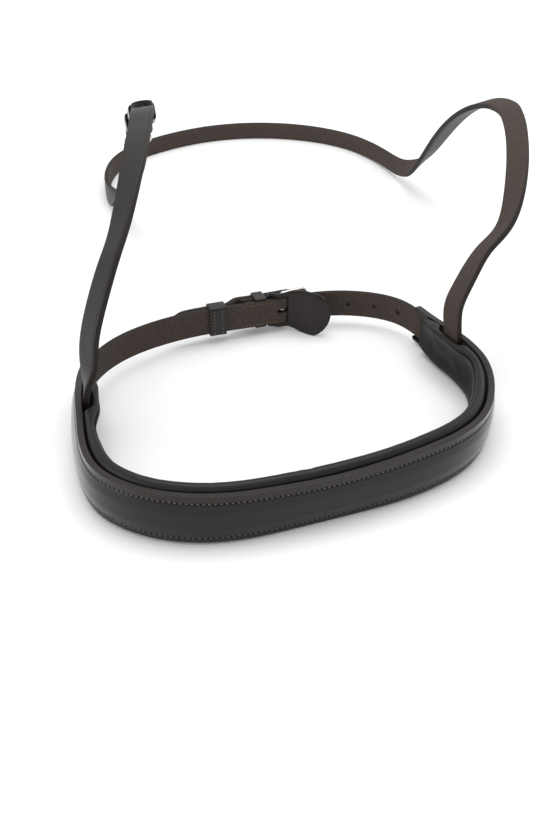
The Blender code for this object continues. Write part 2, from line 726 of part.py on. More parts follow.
def rear_levels(u):
    """Flesh and grain levels of a rear strap: skived thin where it is sewn in."""
    past = ease((abs(u) - LINING_HALF_LENGTH - BACKING_PAST_LINING - LAYER_GAP)
                / REAR_SKIVE_LENGTH)
    low = blend(FILLER_FLOOR, 0.0, past)
    high = blend(FILLER_FLOOR + FILLER_THICKNESS, REAR_THICKNESS, past)
    return low, high


def rear_stations(end):
    """Stations from a rear strap's sewn end out to the given place."""
    sewn = FILLER_HALF_LENGTH + LAYER_GAP
    return np.concatenate([stations(sewn, LINING_HALF_LENGTH),
                           stations(LINING_HALF_LENGTH + BACKING_PAST_LINING + LAYER_GAP,
                                    end, STATION_STEP)])


def fold_track(buckle):
    """The end of a strap round its bar: in along the flesh side, back outside it."""
    q_in = np.array([-3.2, -2.4, -1.6, -0.8]) * buckle.fold
    inner = buckle.bar_n - buckle.fold
    flat = buckle.thickness / 2
    n_in = blend(flat, inner, ease(1 + q_in / buckle.fold / 3.2))
    turn = np.linspace(-math.pi / 2, math.pi / 2, 9)
    arc = np.stack([buckle.fold * np.cos(turn), buckle.bar_n + buckle.fold * np.sin(turn)], 1)
    outer = buckle.back_low + buckle.thickness / 2
    q_out = np.array([-0.8, -1.6, -2.4, -3.2]) * buckle.fold
    n_out = blend(outer, buckle.bar_n + buckle.fold, ease(1 + q_out / buckle.fold / 3.2))
    end = stations(q_out[-1] * 1.3, -buckle.turn_back)
    back = np.stack([end, np.full(len(end), outer)], 1)
    return np.vstack([np.stack([q_in, n_in], 1), arc, np.stack([q_out, n_out], 1), back])


def on_route(buckle, track):
    """A track in the buckle's (q, n) as one in the route's (s, n)."""
    track = np.array(track, float)
    track[:, 0] = buckle.s(track[:, 0])
    return track


def chape_strap(name, buckle, lead, lead_thickness, half_width, kind, origin=None):
    """A strap that runs to its buckle and folds round the bar, slotted for the tongue."""
    fold = on_route(buckle, fold_track(buckle))
    track = np.vstack([lead, fold])
    thickness = np.concatenate([lead_thickness, np.full(len(fold), buckle.thickness)])
    half = np.concatenate([half_width, np.full(len(fold), buckle.width / 2)])
    thing = strip(name, buckle.route, track, half, thickness, kind, origin)
    reach = buckle.wire + 2 * TONGUE_RADIUS + 2 * TONGUE_RUNNING_GAP
    ends = sorted([-buckle.side * (reach + LAYER_GAP),
                   buckle.side * (buckle.fold + buckle.thickness)])
    deep = buckle.fold + buckle.thickness
    cut(thing, cutter_box(name + "_slot", (ends[0], -TONGUE_SLOT_HALF, -deep),
                          (ends[1], TONGUE_SLOT_HALF, deep), buckle.matrix()))
    return thing


def punch(thing, buckle, ahead, behind):
    """The row of holes: an oval one on the tongue and round ones either side of it."""
    for index in range(-behind, ahead + 1):
        q = TONGUE_HOLE_AT + index * HOLE_PITCH
        half = TONGUE_HOLE_HALF_LENGTH if index == 0 else HOLE_RADIUS
        frame = buckle.route.matrix(buckle.s(q), buckle.free_low(q) + buckle.thickness / 2)
        name = f"{thing.name}_hole_{index + behind}"
        depth = 2 * buckle.thickness + 2 * CUT_OVERRUN
        cut(thing, cutter_hole(name, HOLE_RADIUS, half, depth, frame))


def tip_half_width(q_past_tip, width):
    """A strap's half width near its pointed end."""
    share = np.clip(q_past_tip / TIP_LENGTH, 0.0, 1.0)
    return blend(TIP_HALF_WIDTH, width / 2, np.sqrt(1 - (1 - share) ** 2))


def overlap_stations(buckle):
    """Stations over a buckle, from the frame's far side to the strap's tip."""
    climb = stations(buckle.reach + buckle.wire, 0.0, buckle.wire * 1.4)
    lap = stations(0.0, -(buckle.tip_at - TIP_LENGTH), STATION_STEP / 2)[1:]
    point = -buckle.tip_at + TIP_LENGTH * np.array([0.75, 0.5, 0.3, 0.12, 0.0])
    return np.concatenate([climb, lap, point])


def buckle_frame(name, buckle, origin):
    """A wire frame: heel bar in the fold, sides lifting to the far crosspiece."""
    half = buckle.width / 2 + SIDE_CLEARANCE + buckle.wire
    rise = buckle.cross_n - buckle.bar_n
    heel = SIDE_CLEARANCE + buckle.wire
    points = []
    for sign_q, sign_w, start in ((1, 1, 0), (0, 1, 90), (0, -1, 180), (1, -1, 270)):
        corner = FRAME_CORNER if sign_q else heel
        q_mid = (buckle.reach - corner) if sign_q else corner
        w_mid = sign_w * (half - corner)
        for step in range(4):
            angle = math.radians(start + 30 * step)
            q = q_mid + corner * math.cos(angle)
            w = w_mid + corner * math.sin(angle)
            lift = rise * ease((q - buckle.wire) / (buckle.reach - 2 * buckle.wire))
            points.append((buckle.side * q, w, lift))
    return wire(name, points, buckle.wire, buckle, origin, True)


def buckle_tongue(name, buckle, origin):
    """A pin looped on the heel bar, up through the hole and onto the crosspiece."""
    ring = buckle.wire + TONGUE_RUNNING_GAP + TONGUE_RADIUS
    points = []
    for degrees in range(115, 361, 35):
        angle = math.radians(degrees)
        points.append((ring * math.cos(angle), ring * math.sin(angle)))
    rest = buckle.cross_n - buckle.bar_n + buckle.wire + TONGUE_RUNNING_GAP + TONGUE_RADIUS
    tip = buckle.reach + TONGUE_PAST_FRAME
    middle = buckle.free_low(TONGUE_HOLE_AT) + buckle.thickness / 2 - buckle.bar_n
    points += [(ring + TONGUE_RADIUS, blend(0.0, middle, 0.4)),
               (blend(ring, TONGUE_HOLE_AT, 0.6), blend(0.0, middle, 0.85)),
               (TONGUE_HOLE_AT, middle), (buckle.reach, rest),
               (tip, rest - TONGUE_RADIUS / 4)]
    smooth = spline_through([(q, n, 0.0) for q, n in points], False, 3)
    path = [(buckle.side * q, 0.0, n) for q, n, _ in smooth]
    return wire(name, path, TONGUE_RADIUS, buckle, origin, False)


def wire(name, points, radius, buckle, origin, cyclic):
    """A round wire through points in the buckle's own frame."""
    curve = bpy.data.curves.new(name, "CURVE")
    curve.dimensions = "3D"
    spline = curve.splines.new("POLY")
    spline.points.add(len(points) - 1)
    for slot, point in zip(spline.points, points):
        slot.co = (*point, 1.0)
    spline.use_cyclic_u = cyclic
    curve.bevel_depth = radius
    curve.bevel_resolution = 2
    curve.use_fill_caps = True
    curve.transform(buckle.matrix())
    return add_object(name, curve, "steel", origin)


def keeper_outline(low, high, half, open_side):
    """Outlines of a keeper loop in (w, n): a closed ring, or one open to the flesh side."""
    def rounded(w, bottom, top, corner):
        points = []
        for sign_w, edge, start in ((1, top, 0), (-1, top, 90), (-1, bottom, 180),
                                    (1, bottom, 270)):
            centre_n = edge - corner if edge == top else edge + corner
            for step in range(4):
                angle = math.radians(start + 30 * step)
                points.append((sign_w * (w - corner) + corner * math.cos(angle),
                               centre_n + corner * math.sin(angle)))
        return points

    inner = rounded(half, low, high, KEEPER_CORNER / 4)
    outer = rounded(half + KEEPER_WALL, low - KEEPER_WALL, high + KEEPER_WALL,
                    KEEPER_CORNER)
    if not open_side:
        return [outer, inner]
    arch_out = outer[:8]
    arch_in = inner[:8]
    legs_out = [(-half - KEEPER_WALL, low), (half + KEEPER_WALL, low)]
    legs_in = [(half, low), (-half, low)]
    return [arch_out + [legs_out[0], legs_in[1]] + arch_in[::-1] + [legs_in[0], legs_out[1]]]


def keeper(name, buckle, q, low, high, open_side, hinge=None):
    """A leather loop round the straps: a flat outline drawn out to its width."""
    curve = bpy.data.curves.new(name, "CURVE")
    curve.dimensions = "2D"
    curve.fill_mode = "BOTH"
    curve.extrude = (KEEPER_WIDTH if open_side else RUNNER_WIDTH) / 2
    half = buckle.width / 2 + KEEPER_ROOM
    for outline in keeper_outline(low, high, half, open_side):
        spline = curve.splines.new("POLY")
        spline.points.add(len(outline) - 1)
        for slot, (w, n) in zip(spline.points, outline):
            slot.co = (w, n, 0.0, 1.0)
        spline.use_cyclic_u = True
    thing = bpy.data.objects.new(name, curve)
    PARTS.objects.link(thing)
    curve.materials.append(material(name, "grain"))
    route = buckle.route.matrix(buckle.s(q))
    turned = Matrix((route.col[1], route.col[2], route.col[0], route.col[3])).transposed()
    if hinge is not None:
        holder = bpy.data.objects.new(name + "_pivot", None)
        holder.location = hinge
        PARTS.objects.link(holder)
        thing.parent = holder
        thing.matrix_parent_inverse = Matrix.Translation(-hinge)
    thing.matrix_basis = turned
    return thing


def chin_buckle():
    sizes = (REAR_WIDTH, REAR_THICKNESS, GUARD_THICKNESS, CHIN_WIRE_RADIUS,
             CHIN_FRAME_REACH, CHIN_TURN_BACK, CHIN_TIP_PAST_BAR)
    return Buckle(LOOP, on_loop(CHIN_BAR_AT), -1, sizes)


def head_buckle():
    sizes = (HEAD_WIDTH, HEAD_THICKNESS, 0.0, HEAD_WIRE_RADIUS, HEAD_FRAME_REACH,
             HEAD_TURN_BACK, HEAD_TIP_PAST_BAR)
    return Buckle(HEAD, HEAD_BAR_AT, 1, sizes)


def buckle_strap(buckle):
    """Left rear strap: sewn in at the nosepiece, folded round the chin buckle's bar."""
    stop = LOOP.length - (CHIN_BAR_AT + 4.2 * buckle.fold)
    u = rear_stations(stop)
    low, high = rear_levels(u)
    lead = np.stack([on_loop(LOOP.length - u), (low + high) / 2], 1)
    return chape_strap("buckle_strap", buckle, lead, high - low,
                       np.full(len(u), REAR_WIDTH / 2), "flesh")


def billet_strap(buckle):
    """Right rear strap: sewn in, past the guard, through the buckle and on to its tip."""
    stop = CHIN_BAR_AT - buckle.reach - buckle.wire - STATION_STEP
    u = rear_stations(stop)
    low, high = rear_levels(u)
    lead = np.stack([on_loop(u), (low + high) / 2], 1)
    q = overlap_stations(buckle)
    over = on_route(buckle, np.stack([q, buckle.free_low(q) + buckle.thickness / 2], 1))
    half = tip_half_width(q + buckle.tip_at, REAR_WIDTH)
    thing = strip("billet_strap", LOOP, np.vstack([lead, over]),
                  np.concatenate([np.full(len(u), REAR_WIDTH / 2), half]),
                  np.concatenate([high - low, np.full(len(q), REAR_THICKNESS)]), "flesh")
    punch(thing, buckle, CHIN_HOLES_AHEAD, CHIN_HOLES_BEHIND)
    return thing


def guard_half_width(q):
    """The guard's outline: a neck, rails past the strap, and a round belly."""
    rail = REAR_WIDTH / 2 + SIDE_CLEARANCE + GUARD_RAIL
    shoulder = (q + GUARD_WINDOW_BACK + GUARD_SHOULDER) / GUARD_SHOULDER
    neck = blend(GUARD_NECK_HALF, rail, ease(shoulder))
    belly = blend(neck, GUARD_RADIUS, ease(q / GUARD_CENTRE))
    past = np.clip((q - GUARD_CENTRE) / GUARD_RADIUS, 0.0, 1.0)
    return belly * np.sqrt(1 - past ** 2) if q > GUARD_CENTRE else belly


def guard_level(q, buckle):
    """The guard's middle over the seam plane: between the chape's layers at its neck,
    under the buckle, then leaning in to the horse's side."""
    neck = buckle.thickness + LAYER_GAP + GUARD_THICKNESS / 2
    under = GUARD_THICKNESS / 2
    down = blend(neck, under, ease((q + GUARD_WINDOW_BACK - 2 * LAYER_GAP)
                                   / (GUARD_WINDOW_BACK - buckle.fold)))
    return down - GUARD_LEAN * ease((q - buckle.fold) / GUARD_LEAN_LENGTH)


def buckle_guard(buckle):
    """Leather tab that keeps the buckle off the skin, with a window for the chape."""
    straight = np.concatenate([
        stations(-GUARD_NECK_LENGTH, -GUARD_WINDOW_BACK - GUARD_SHOULDER)[:-1],
        stations(-GUARD_WINDOW_BACK - GUARD_SHOULDER, GUARD_CENTRE, GUARD_SHOULDER / 2)])
    turn = np.linspace(0, math.pi / 2, 8)[1:-1]
    round_end = GUARD_CENTRE + GUARD_RADIUS * np.sin(turn)
    q = np.concatenate([straight, round_end])
    half = np.array([guard_half_width(value) for value in q])
    level = np.array([guard_level(value, buckle) for value in q])
    track = on_route(buckle, np.stack([q, level], 1))
    thing = strip("buckle_guard", LOOP, track, half, GUARD_THICKNESS, "soft")
    window = REAR_WIDTH / 2 + SIDE_CLEARANCE
    ends = sorted([buckle.side * GUARD_WINDOW_FRONT, -buckle.side * GUARD_WINDOW_BACK])
    deep = buckle.bar_n + GUARD_THICKNESS
    cut(thing, cutter_box("guard_window", (ends[0], -window, -deep),
                          (ends[1], window, buckle.fold), buckle.matrix()))
    return thing


def cheek_strap(buckle):
    """Short side of the head strap: pocket end to the head buckle."""
    u = stations(0.0, HEAD_BAR_AT - 4.2 * buckle.fold)
    lead = np.stack([u, np.full(len(u), HEAD_THICKNESS / 2)], 1)
    lead[:, 1] -= HEAD_THICKNESS / 2 * (1 - ease((u - SLOT_OFFSET) / STATION_STEP / 4))
    return chape_strap("cheek_strap", buckle, lead, np.full(len(u), HEAD_THICKNESS),
                       end_half_width(u), "flesh", HEAD_PIVOT)


def end_half_width(u):
    """Half width of a head strap's end in its pocket, rounded about the pivot."""
    share = np.clip(u / STRAP_END_DEPTH, 0.0, 1.0)
    return HEAD_WIDTH / 2 * np.sqrt(np.maximum(0.12, 1 - (1 - share) ** 2))


def poll_strap(buckle):
    """Long side of the head strap: buckle tip, over the poll, to the other pocket."""
    q = overlap_stations(buckle)
    over = on_route(buckle, np.stack([q, buckle.free_low(q) + buckle.thickness / 2], 1))
    over, half = over[::-1], tip_half_width(q + buckle.tip_at, HEAD_WIDTH)[::-1]
    start = HEAD_BAR_AT + buckle.reach + buckle.wire + STATION_STEP
    u = stations(start, HEAD.length)
    level = HEAD_THICKNESS / 2 * ease((HEAD.length - SLOT_OFFSET - u) / STATION_STEP / 4)
    lead = np.stack([u, level], 1)
    thing = strip("poll_strap", HEAD, np.vstack([over, lead]),
                  np.concatenate([half, end_half_width(HEAD.length - u)]),
                  HEAD_THICKNESS, "flesh", HEAD_PIVOT)
    punch(thing, buckle, HEAD_HOLES_AHEAD, HEAD_HOLES_BEHIND)
    return thing


def build():
    chin, head = chin_buckle(), head_buckle()
    front_band()
    raised_filler()
    backing_band()
    lining_cover()
    lining_foam()
    buckle_strap(chin)
    billet_strap(chin)
    buckle_guard(chin)
    chin_bar = LOOP.at(chin.bar_at, 0.0, chin.bar_n)
    buckle_frame("chin_buckle_frame", chin, chin_bar)
    buckle_tongue("chin_buckle_tongue", chin, chin_bar)
    keeper("chin_fixed_keeper", chin, -CHIN_KEEPER_AT, REAR_THICKNESS / 2,
           chin.over + REAR_THICKNESS + KEEPER_ROOM, True)
    keeper("chin_runner_keeper", chin, -CHIN_RUNNER_AT, -RUNNER_ROOM,
           2 * REAR_THICKNESS + LAYER_GAP + KEEPER_ROOM, False)
    cheek_strap(head)
    poll_strap(head)
    head_bar = HEAD.at(head.bar_at, 0.0, head.bar_n)
    buckle_frame("head_buckle_frame", head, head_bar)
    buckle_tongue("head_buckle_tongue", head, head_bar)
    keeper("head_fixed_keeper", head, -HEAD_KEEPER_AT, HEAD_THICKNESS / 2,
           head.over + HEAD_THICKNESS + KEEPER_ROOM, True, HEAD_PIVOT)
    keeper("head_runner_keeper", head, -HEAD_RUNNER_AT, -RUNNER_ROOM,
           2 * HEAD_THICKNESS + LAYER_GAP + KEEPER_ROOM, False)


build()
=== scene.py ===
"""Looks of a raised, padded cavesson noseband that stands on a pale table.

Every leather piece follows a route, a smooth line with a frame at each point. A place on
it is (s, w, n): millimetres along the route, across the strap, and out to the grain side.
Shapes are worked out in millimetres and become metres when the mesh is made.
"""
import math

import bmesh
import bpy
import numpy as np
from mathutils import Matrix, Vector


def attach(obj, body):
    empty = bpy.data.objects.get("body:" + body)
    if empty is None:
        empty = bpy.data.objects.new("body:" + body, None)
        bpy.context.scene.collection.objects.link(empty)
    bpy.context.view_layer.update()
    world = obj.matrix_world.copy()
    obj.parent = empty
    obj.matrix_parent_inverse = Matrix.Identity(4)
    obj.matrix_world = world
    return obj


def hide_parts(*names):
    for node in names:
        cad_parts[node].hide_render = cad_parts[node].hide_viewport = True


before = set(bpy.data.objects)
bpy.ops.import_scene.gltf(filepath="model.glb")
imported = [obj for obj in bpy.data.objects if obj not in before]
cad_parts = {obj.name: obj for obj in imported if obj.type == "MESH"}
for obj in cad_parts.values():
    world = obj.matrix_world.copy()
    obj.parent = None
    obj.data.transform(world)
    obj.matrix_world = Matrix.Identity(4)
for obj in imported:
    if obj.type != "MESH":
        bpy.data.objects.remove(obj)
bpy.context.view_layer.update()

# A millimetre in metres, and the room between two layers in millimetres
MM = 0.001
GAP = 0.3

# The nosepiece in millimetres; places along it are counted from its middle
HALF_WIDTH, HALF_DEPTH = 103.0, 84.0
MIDDLE_Z, NOSE_MIDDLE, ROLL_MIDDLE = 13.7, -7.0, 3.9
BAND_END, BACKING_END, LINING_END = 205.0, 196.0, 194.0
BAND_TAPER_FROM, BAND_TAPER = 155.0, 50.0
BAND_TOP, BAND_END_TOP, BAND_END_FOOT = 12.5, 10.0, 11.6
PAD_FULL_TO, PAD_THIN_FROM = 108.0, 170.0
SLOT, POCKET_HALF, POCKET_DEPTH = 166.0, 8.0, 4.4
BACKING_THICK, BAND_THICK = 1.65, 1.8
THREAD_TOP, THREAD_FOOT, PITCH, THREAD_LEVEL = 3.6, 2.6, 2.4, 3.38

# Straps, their holes and their keepers; a bar's place is counted along its strap
REAR_WIDTH, REAR_THICK, REAR_FROM, REAR_CLEAR_FROM = 16.0, 2.6, 168.3, 196.3
HEAD_WIDTH, HEAD_THICK, HEAD_REACH, HEAD_RISE = 12.6, 3.4, 390.0, 124.0
STRAP_MIDDLE = -2.4
PIVOT_Z, FOOT_Z, TOP_Z = 21.9, 18.9, 27.9
CHIN_BAR, HEAD_BAR = 287.0, 276.0
STRAP_STEP, TIP_LENGTH, TIP_HALF = 1.2, 9.0, 1.6
TONGUE_HOLE, HOLE_PITCH, HOLE_RADIUS, TONGUE_HOLE_HALF = 8.9, 15.0, 0.8, 3.6
SIDE_ROOM, KEEPER_WALL, KEEPER_CORNER = 0.3, 1.0, 1.5
FIXED_WIDE, RUNNER_WIDE, CHIN_RUNNER = 6.8, 9.8, 39.3

# Guard and buckle wire
GUARD_THICK, GUARD_CENTRE, GUARD_HALF, GUARD_FRONT = 1.5, 12.5, 14.0, 14.4
GUARD_WINDOW = (-8.0, 3.0)
WIRE, TONGUE_WIRE, RUNNING_GAP, FRAME_CORNER = 1.1, 0.8, 0.2, 3.0

# Routes


def unit(v):
    return v / np.linalg.norm(v, axis=-1, keepdims=True)


def ease(x):
    """Smooth step: 3t^2 - 2t^3 for t kept between 0 and 1."""
    t = np.clip(x, 0.0, 1.0)
    return t * t * (3 - 2 * t)


def mix(a, b, t):
    return a + (b - a) * t


def columns(*parts):
    """Rows of values from columns of them; a single value is repeated."""
    return np.stack(np.broadcast_arrays(*parts), -1)


def gone_along(points):
    """Distance gone at each point of a line."""
    return np.concatenate([[0], np.cumsum(np.linalg.norm(np.diff(points, axis=0), axis=1))])


def run_of(path, closed=False):
    """Direction at each point of a line."""
    if closed:
        return unit(np.roll(path, -1, 0) - np.roll(path, 1, 0))
    return unit(np.gradient(path, axis=0))


def corner_arc(x, y, radius, start):
    """A quarter turn about a centre, from an angle in degrees."""
    turn = np.radians(start + np.linspace(0, 90, 9))
    return columns(x + radius * np.cos(turn), y + radius * np.sin(turn))


def spline_through(points, closed, per_span=60):
    """Cubic spline with chord^0.5 spacing; natural ends, or periodic when closed."""
    points = np.asarray(points, float)
    knots = np.vstack([points, points[:1]]) if closed else points
    chord = np.sqrt(np.linalg.norm(np.diff(knots[:, :3], axis=0), axis=1))
    count = len(knots)
    system, right = np.zeros((count, count)), np.zeros((count, knots.shape[1]))
    slope = np.diff(knots, axis=0) / chord[:, None]
    inner = np.arange(1, count - 1)
    system[inner, inner - 1], system[inner, inner + 1] = chord[:-1], chord[1:]
    system[inner, inner] = 2 * (chord[:-1] + chord[1:])
    right[inner] = 6 * np.diff(slope, axis=0)
    system[0, 0] = system[-1, -1] = 1.0
    if closed:
        system[0, :2], system[0, -2] = (2 * (chord[-1] + chord[0]), chord[0]), chord[-1]
        right[0] = 6 * (slope[0] - slope[-1])
        system[-1, 0] = -1.0
    bend = np.linalg.solve(system, right)
    t = np.linspace(0, 1, per_span, endpoint=False)[None, :, None]
    h = chord[:, None, None]
    b0, b1 = bend[:-1, None], bend[1:, None]
    k0, k1 = knots[:-1, None], knots[1:, None]
    curve = (((1 - t) ** 3 * b0 + t ** 3 * b1) * h ** 2 / 6
             + (1 - t) * (k0 - b0 * h ** 2 / 6) + t * (k1 - b1 * h ** 2 / 6))
    return np.vstack([curve.reshape(-1, knots.shape[1]), knots[-1:]])


class Route:
    """A smooth line with its tangent, width direction and grain side at each point."""

    def __init__(self, points, sides=None, closed=False):
        dense = spline_through(points if sides is None else np.hstack([points, sides]),
                               closed)
        gone = gone_along(dense[:, :3])
        self.length, self.closed = gone[-1], closed
        self.table = np.linspace(0, self.length, int(self.length / 0.5) + 2)
        dense = columns(*(np.interp(self.table, gone, c) for c in dense.T))
        self.points = dense[:, :3]
        if closed:
            self.face_out()
        else:
            self.tangents = run_of(self.points)
            raw = dense[:, 3:]
            along = np.sum(raw * self.tangents, axis=1, keepdims=True)
            self.sides = unit(raw - along * self.tangents)
            self.widths = np.cross(self.sides, self.tangents)

    def face_out(self):
        """Frames of a level ring, its grain side square to it and outwards."""
        run = run_of(self.points[:-1], closed=True)
        self.tangents = np.vstack([run, run[:1]])
        self.sides = unit(np.cross(self.tangents, [0.0, 0.0, 1.0]))
        self.widths = np.cross(self.sides, self.tangents)

    def read(self, values, s):
        s = np.mod(s, self.length) if self.closed else np.asarray(s, float)
        return columns(*(np.interp(s, self.table, c) for c in values.T))

    def step_out(self, distance):
        """Move each place of a level ring out by its own distance."""
        self.points = self.points + self.sides * distance[:, None]
        self.face_out()

    def lean(self, share, depth, height):
        """Tip each section out, by a tangent, about a point inside and below its middle."""
        angle = np.arctan(share)[:, None]
        turn, loss = np.sin(angle), np.cos(angle) - 1
        out, up = self.sides, np.array([[0.0, 0.0, 1.0]])
        self.points = (self.points + out * (depth * loss + height * turn)
                       + up * (height * loss - depth * turn))
        self.sides = unit(out * (1 + loss) - up * turn)
        self.widths = unit(np.cross(self.sides, self.tangents))

    def at(self, s, w=0.0, n=0.0):
        s, w, n = np.broadcast_arrays(*(np.asarray(x, float) for x in (s, w, n)))
        return (self.read(self.points, s) + w[..., None] * unit(self.read(self.widths, s))
                + n[..., None] * unit(self.read(self.sides, s)))


LOOP_SHARES = np.array([
    (0.0, -0.963), (0.573, -0.828), (0.858, -0.498), (0.994, -0.117), (0.912, 0.393),
    (0.81, 0.762), (0.481, 0.976), (0.09, 0.966), (-0.294, 0.944), (-0.742, 0.746),
    (-0.948, 0.343), (-1.0, -0.239), (-0.966, -0.661), (-0.595, -0.986)])
LOOP = Route(np.hstack([LOOP_SHARES * [HALF_WIDTH, HALF_DEPTH],
                        np.full((len(LOOP_SHARES), 1), MIDDLE_Z)]), closed=True)

# How the nosepiece leaves that plan: distance from its middle and its foot's step out,
# both as shares of the half width, and how far its top leans out, by a tangent
NOSE_SHAPE = [
    (-2.20, 0.000, 0.000), (-2.00, 0.008, -0.020), (-1.85, 0.021, -0.070),
    (-1.70, 0.034, -0.115), (-1.55, 0.041, -0.130), (-1.43, 0.041, -0.120),
    (-1.30, 0.033, -0.080), (-1.18, 0.020, -0.045), (-1.06, 0.010, -0.025),
    (-0.92, 0.007, -0.030), (-0.78, 0.010, -0.040), (-0.58, 0.011, -0.040),
    (-0.39, 0.009, -0.005), (-0.20, 0.008, 0.047), (-0.06, 0.010, 0.088),
    (0.08, 0.015, 0.100), (0.20, 0.018, 0.077), (0.31, 0.021, 0.040),
    (0.43, 0.019, 0.010), (0.54, 0.015, 0.005), (0.64, 0.013, 0.022),
    (0.75, 0.017, 0.045), (0.85, 0.023, 0.062), (0.96, 0.024, 0.062),
    (1.07, 0.017, 0.045), (1.18, 0.008, 0.010), (1.30, -0.003, -0.020),
    (1.43, -0.010, -0.030), (1.55, -0.011, -0.020), (1.75, -0.007, -0.010),
    (1.95, -0.003, 0.000), (2.14, 0.000, 0.000)]
FROM_NOSE = (LOOP.table - NOSE_MIDDLE + LOOP.length / 2) % LOOP.length - LOOP.length / 2
NOSE_PLACE, NOSE_FOOT, NOSE_LEAN = spline_through(NOSE_SHAPE, False).T
LOOP.step_out(np.interp(FROM_NOSE / HALF_WIDTH, NOSE_PLACE, NOSE_FOOT) * HALF_WIDTH)
TO_ORIGIN = -LOOP.at(NOSE_MIDDLE, 0, -ROLL_MIDDLE) * [1, 1, 0]
LOOP.points = LOOP.points + TO_ORIGIN
LOOP.lean(np.interp(FROM_NOSE / HALF_WIDTH, NOSE_PLACE, NOSE_LEAN), ROLL_MIDDLE, MIDDLE_Z)

# The head strap's course as shares of its reach and rise, with the way its grain faces
LEFT_RISE = [
    (-0.939, 0.025, 0.323, -0.91, -0.41, 0.0), (-0.921, 0.029, 0.432, -0.89, -0.44, 0.1),
    (-0.860, 0.036, 0.593, -0.88, -0.43, 0.2), (-0.785, 0.054, 0.720, -0.82, -0.38, 0.43),
    (-0.713, 0.085, 0.798, -0.73, -0.29, 0.62), (-0.596, 0.159, 0.935, -0.44, -0.22, 0.87),
    (-0.474, 0.269, 1.0, -0.16, -0.01, 0.98), (-0.394, 0.385, 0.90, -0.03, 0.45, 0.9),
    (-0.37, 0.487, 0.66, -0.05, 0.65, 0.75), (-0.37, 0.569, 0.40, -0.05, 0.7, 0.7),
    (-0.41, 0.641, 0.175, -0.45, 0.6, 0.6)]
FLOOR_RUN = [
    (-0.45, 0.705, 0.03, -0.9, 0.25, 0.15), (-0.45, 0.782, 0.01, -1.0, 0.0, 0.0),
    (-0.29, 0.897, 0.0, -0.85, 0.5, 0.0), (0.10, 0.969, 0.0, -0.4, 0.9, 0.0),
    (0.58, 0.995, 0.0, 0.0, 1.0, 0.0), (1.07, 0.962, 0.0, 0.5, 0.87, 0.0),
    (1.44, 0.877, 0.0, 0.87, 0.5, 0.0), (1.58, 0.769, 0.01, 1.0, 0.1, 0.0),
    (1.61, 0.692, 0.04, 0.95, -0.2, -0.15)]
RIGHT_RISE = [
    (1.63, 0.623, 0.21, 0.6, -0.55, -0.55), (1.64, 0.546, 0.45, 0.2, -0.68, -0.7),
    (1.65, 0.449, 0.71, 0.15, -0.55, -0.82), (1.655, 0.333, 0.855, 0.23, -0.18, -0.95),
    (1.54, 0.218, 0.823, 0.42, 0.01, -0.91), (1.393, 0.133, 0.71, 0.63, 0.01, -0.77),
    (1.268, 0.090, 0.595, 0.82, -0.08, -0.57), (1.141, 0.072, 0.535, 0.89, 0.02, -0.46),
    (1.048, 0.056, 0.475, 0.94, 0.15, -0.31), (0.982, 0.046, 0.403, 0.97, 0.2, -0.15),
    (0.935, 0.038, 0.324, 0.96, 0.29, 0.0)]


def head_route():
    """Up out of the left pocket, over to the table, round on edge, and back."""
    size = np.array([HALF_WIDTH, HEAD_REACH, HEAD_RISE])
    ends = []
    for side in (-1, 1):
        s = NOSE_MIDDLE + side * SLOT
        out = LOOP.at(s, 0, 1) - LOOP.at(s)
        ends.append([(*LOOP.at(s, z - MIDDLE_Z, STRAP_MIDDLE), *out)
                     for z in (FOOT_Z, PIVOT_Z, TOP_Z)])
    left, floor, right = (np.array(t) for t in (LEFT_RISE, FLOOR_RUN, RIGHT_RISE))
    for table in (left, floor, right):
        table[:, :3] = table[:, :3] * size + TO_ORIGIN
    floor[:, 2] += HEAD_WIDTH / 2 + 0.2
    rows = np.vstack([ends[0], left, floor, right, ends[1][::-1]])
    return Route(rows[:, :3], rows[:, 3:])


HEAD = head_route()


class Buckle:
    """A buckle and the levels of its straps: q runs from the bar to the crosspiece, which
    the free strap passes over, and n runs outwards."""

    def __init__(self, route, bar_at, side, width, thick, guard, wire, reach, turn_back,
                 tip_at):
        self.route, self.bar_at, self.side = route, bar_at, side
        self.width, self.thick, self.wire, self.reach = width, thick, wire, reach
        self.turn_back, self.tip_at = turn_back, tip_at
        self.back_low = thick + GAP + (guard + GAP if guard else 0.0)
        self.bar_n = (self.back_low + thick) / 2
        self.fold = wire + GAP + thick / 2
        self.over = max(self.back_low + thick, self.bar_n + self.fold + thick / 2) + GAP
        self.cross_n = thick + 2 * GAP + 1.5 * wire
        here = route.at(bar_at)
        self.middle = route.at(bar_at, 0, self.bar_n)
        self.axes = np.stack([unit(route.read(route.tangents, bar_at)) * side,
                              unit(route.at(bar_at, 1) - here),
                              unit(route.at(bar_at, 0, 1) - here)])

    def s(self, q):
        return self.bar_at + self.side * np.asarray(q, float)

    def world(self, qwn):
        """Places in the buckle's own straight frame, whose origin is its bar."""
        return self.middle + np.asarray(qwn, float) @ self.axes

    def free_low(self, q):
        """The free strap's lower face: up over the fold, then down behind its end."""
        q = np.asarray(q, float)
        run = self.reach - self.wire
        high = self.over * ease((run - q) / (run - 1.6 * self.fold))
        drop = ease((-q - self.turn_back - GAP) / TIP_LENGTH)
        return np.where(q > 0, high, mix(self.over, self.thick + GAP, drop))


CHIN = Buckle(LOOP, NOSE_MIDDLE + CHIN_BAR, -1, REAR_WIDTH, REAR_THICK, GUARD_THICK, WIRE,
              reach=15.5, turn_back=25, tip_at=65.5)
BUCKLES = {"chin": CHIN,
           "head": Buckle(HEAD, HEAD_BAR, 1, HEAD_WIDTH, HEAD_THICK, 0.0, WIRE,
                          reach=14, turn_back=24, tip_at=62)}

# Meshes


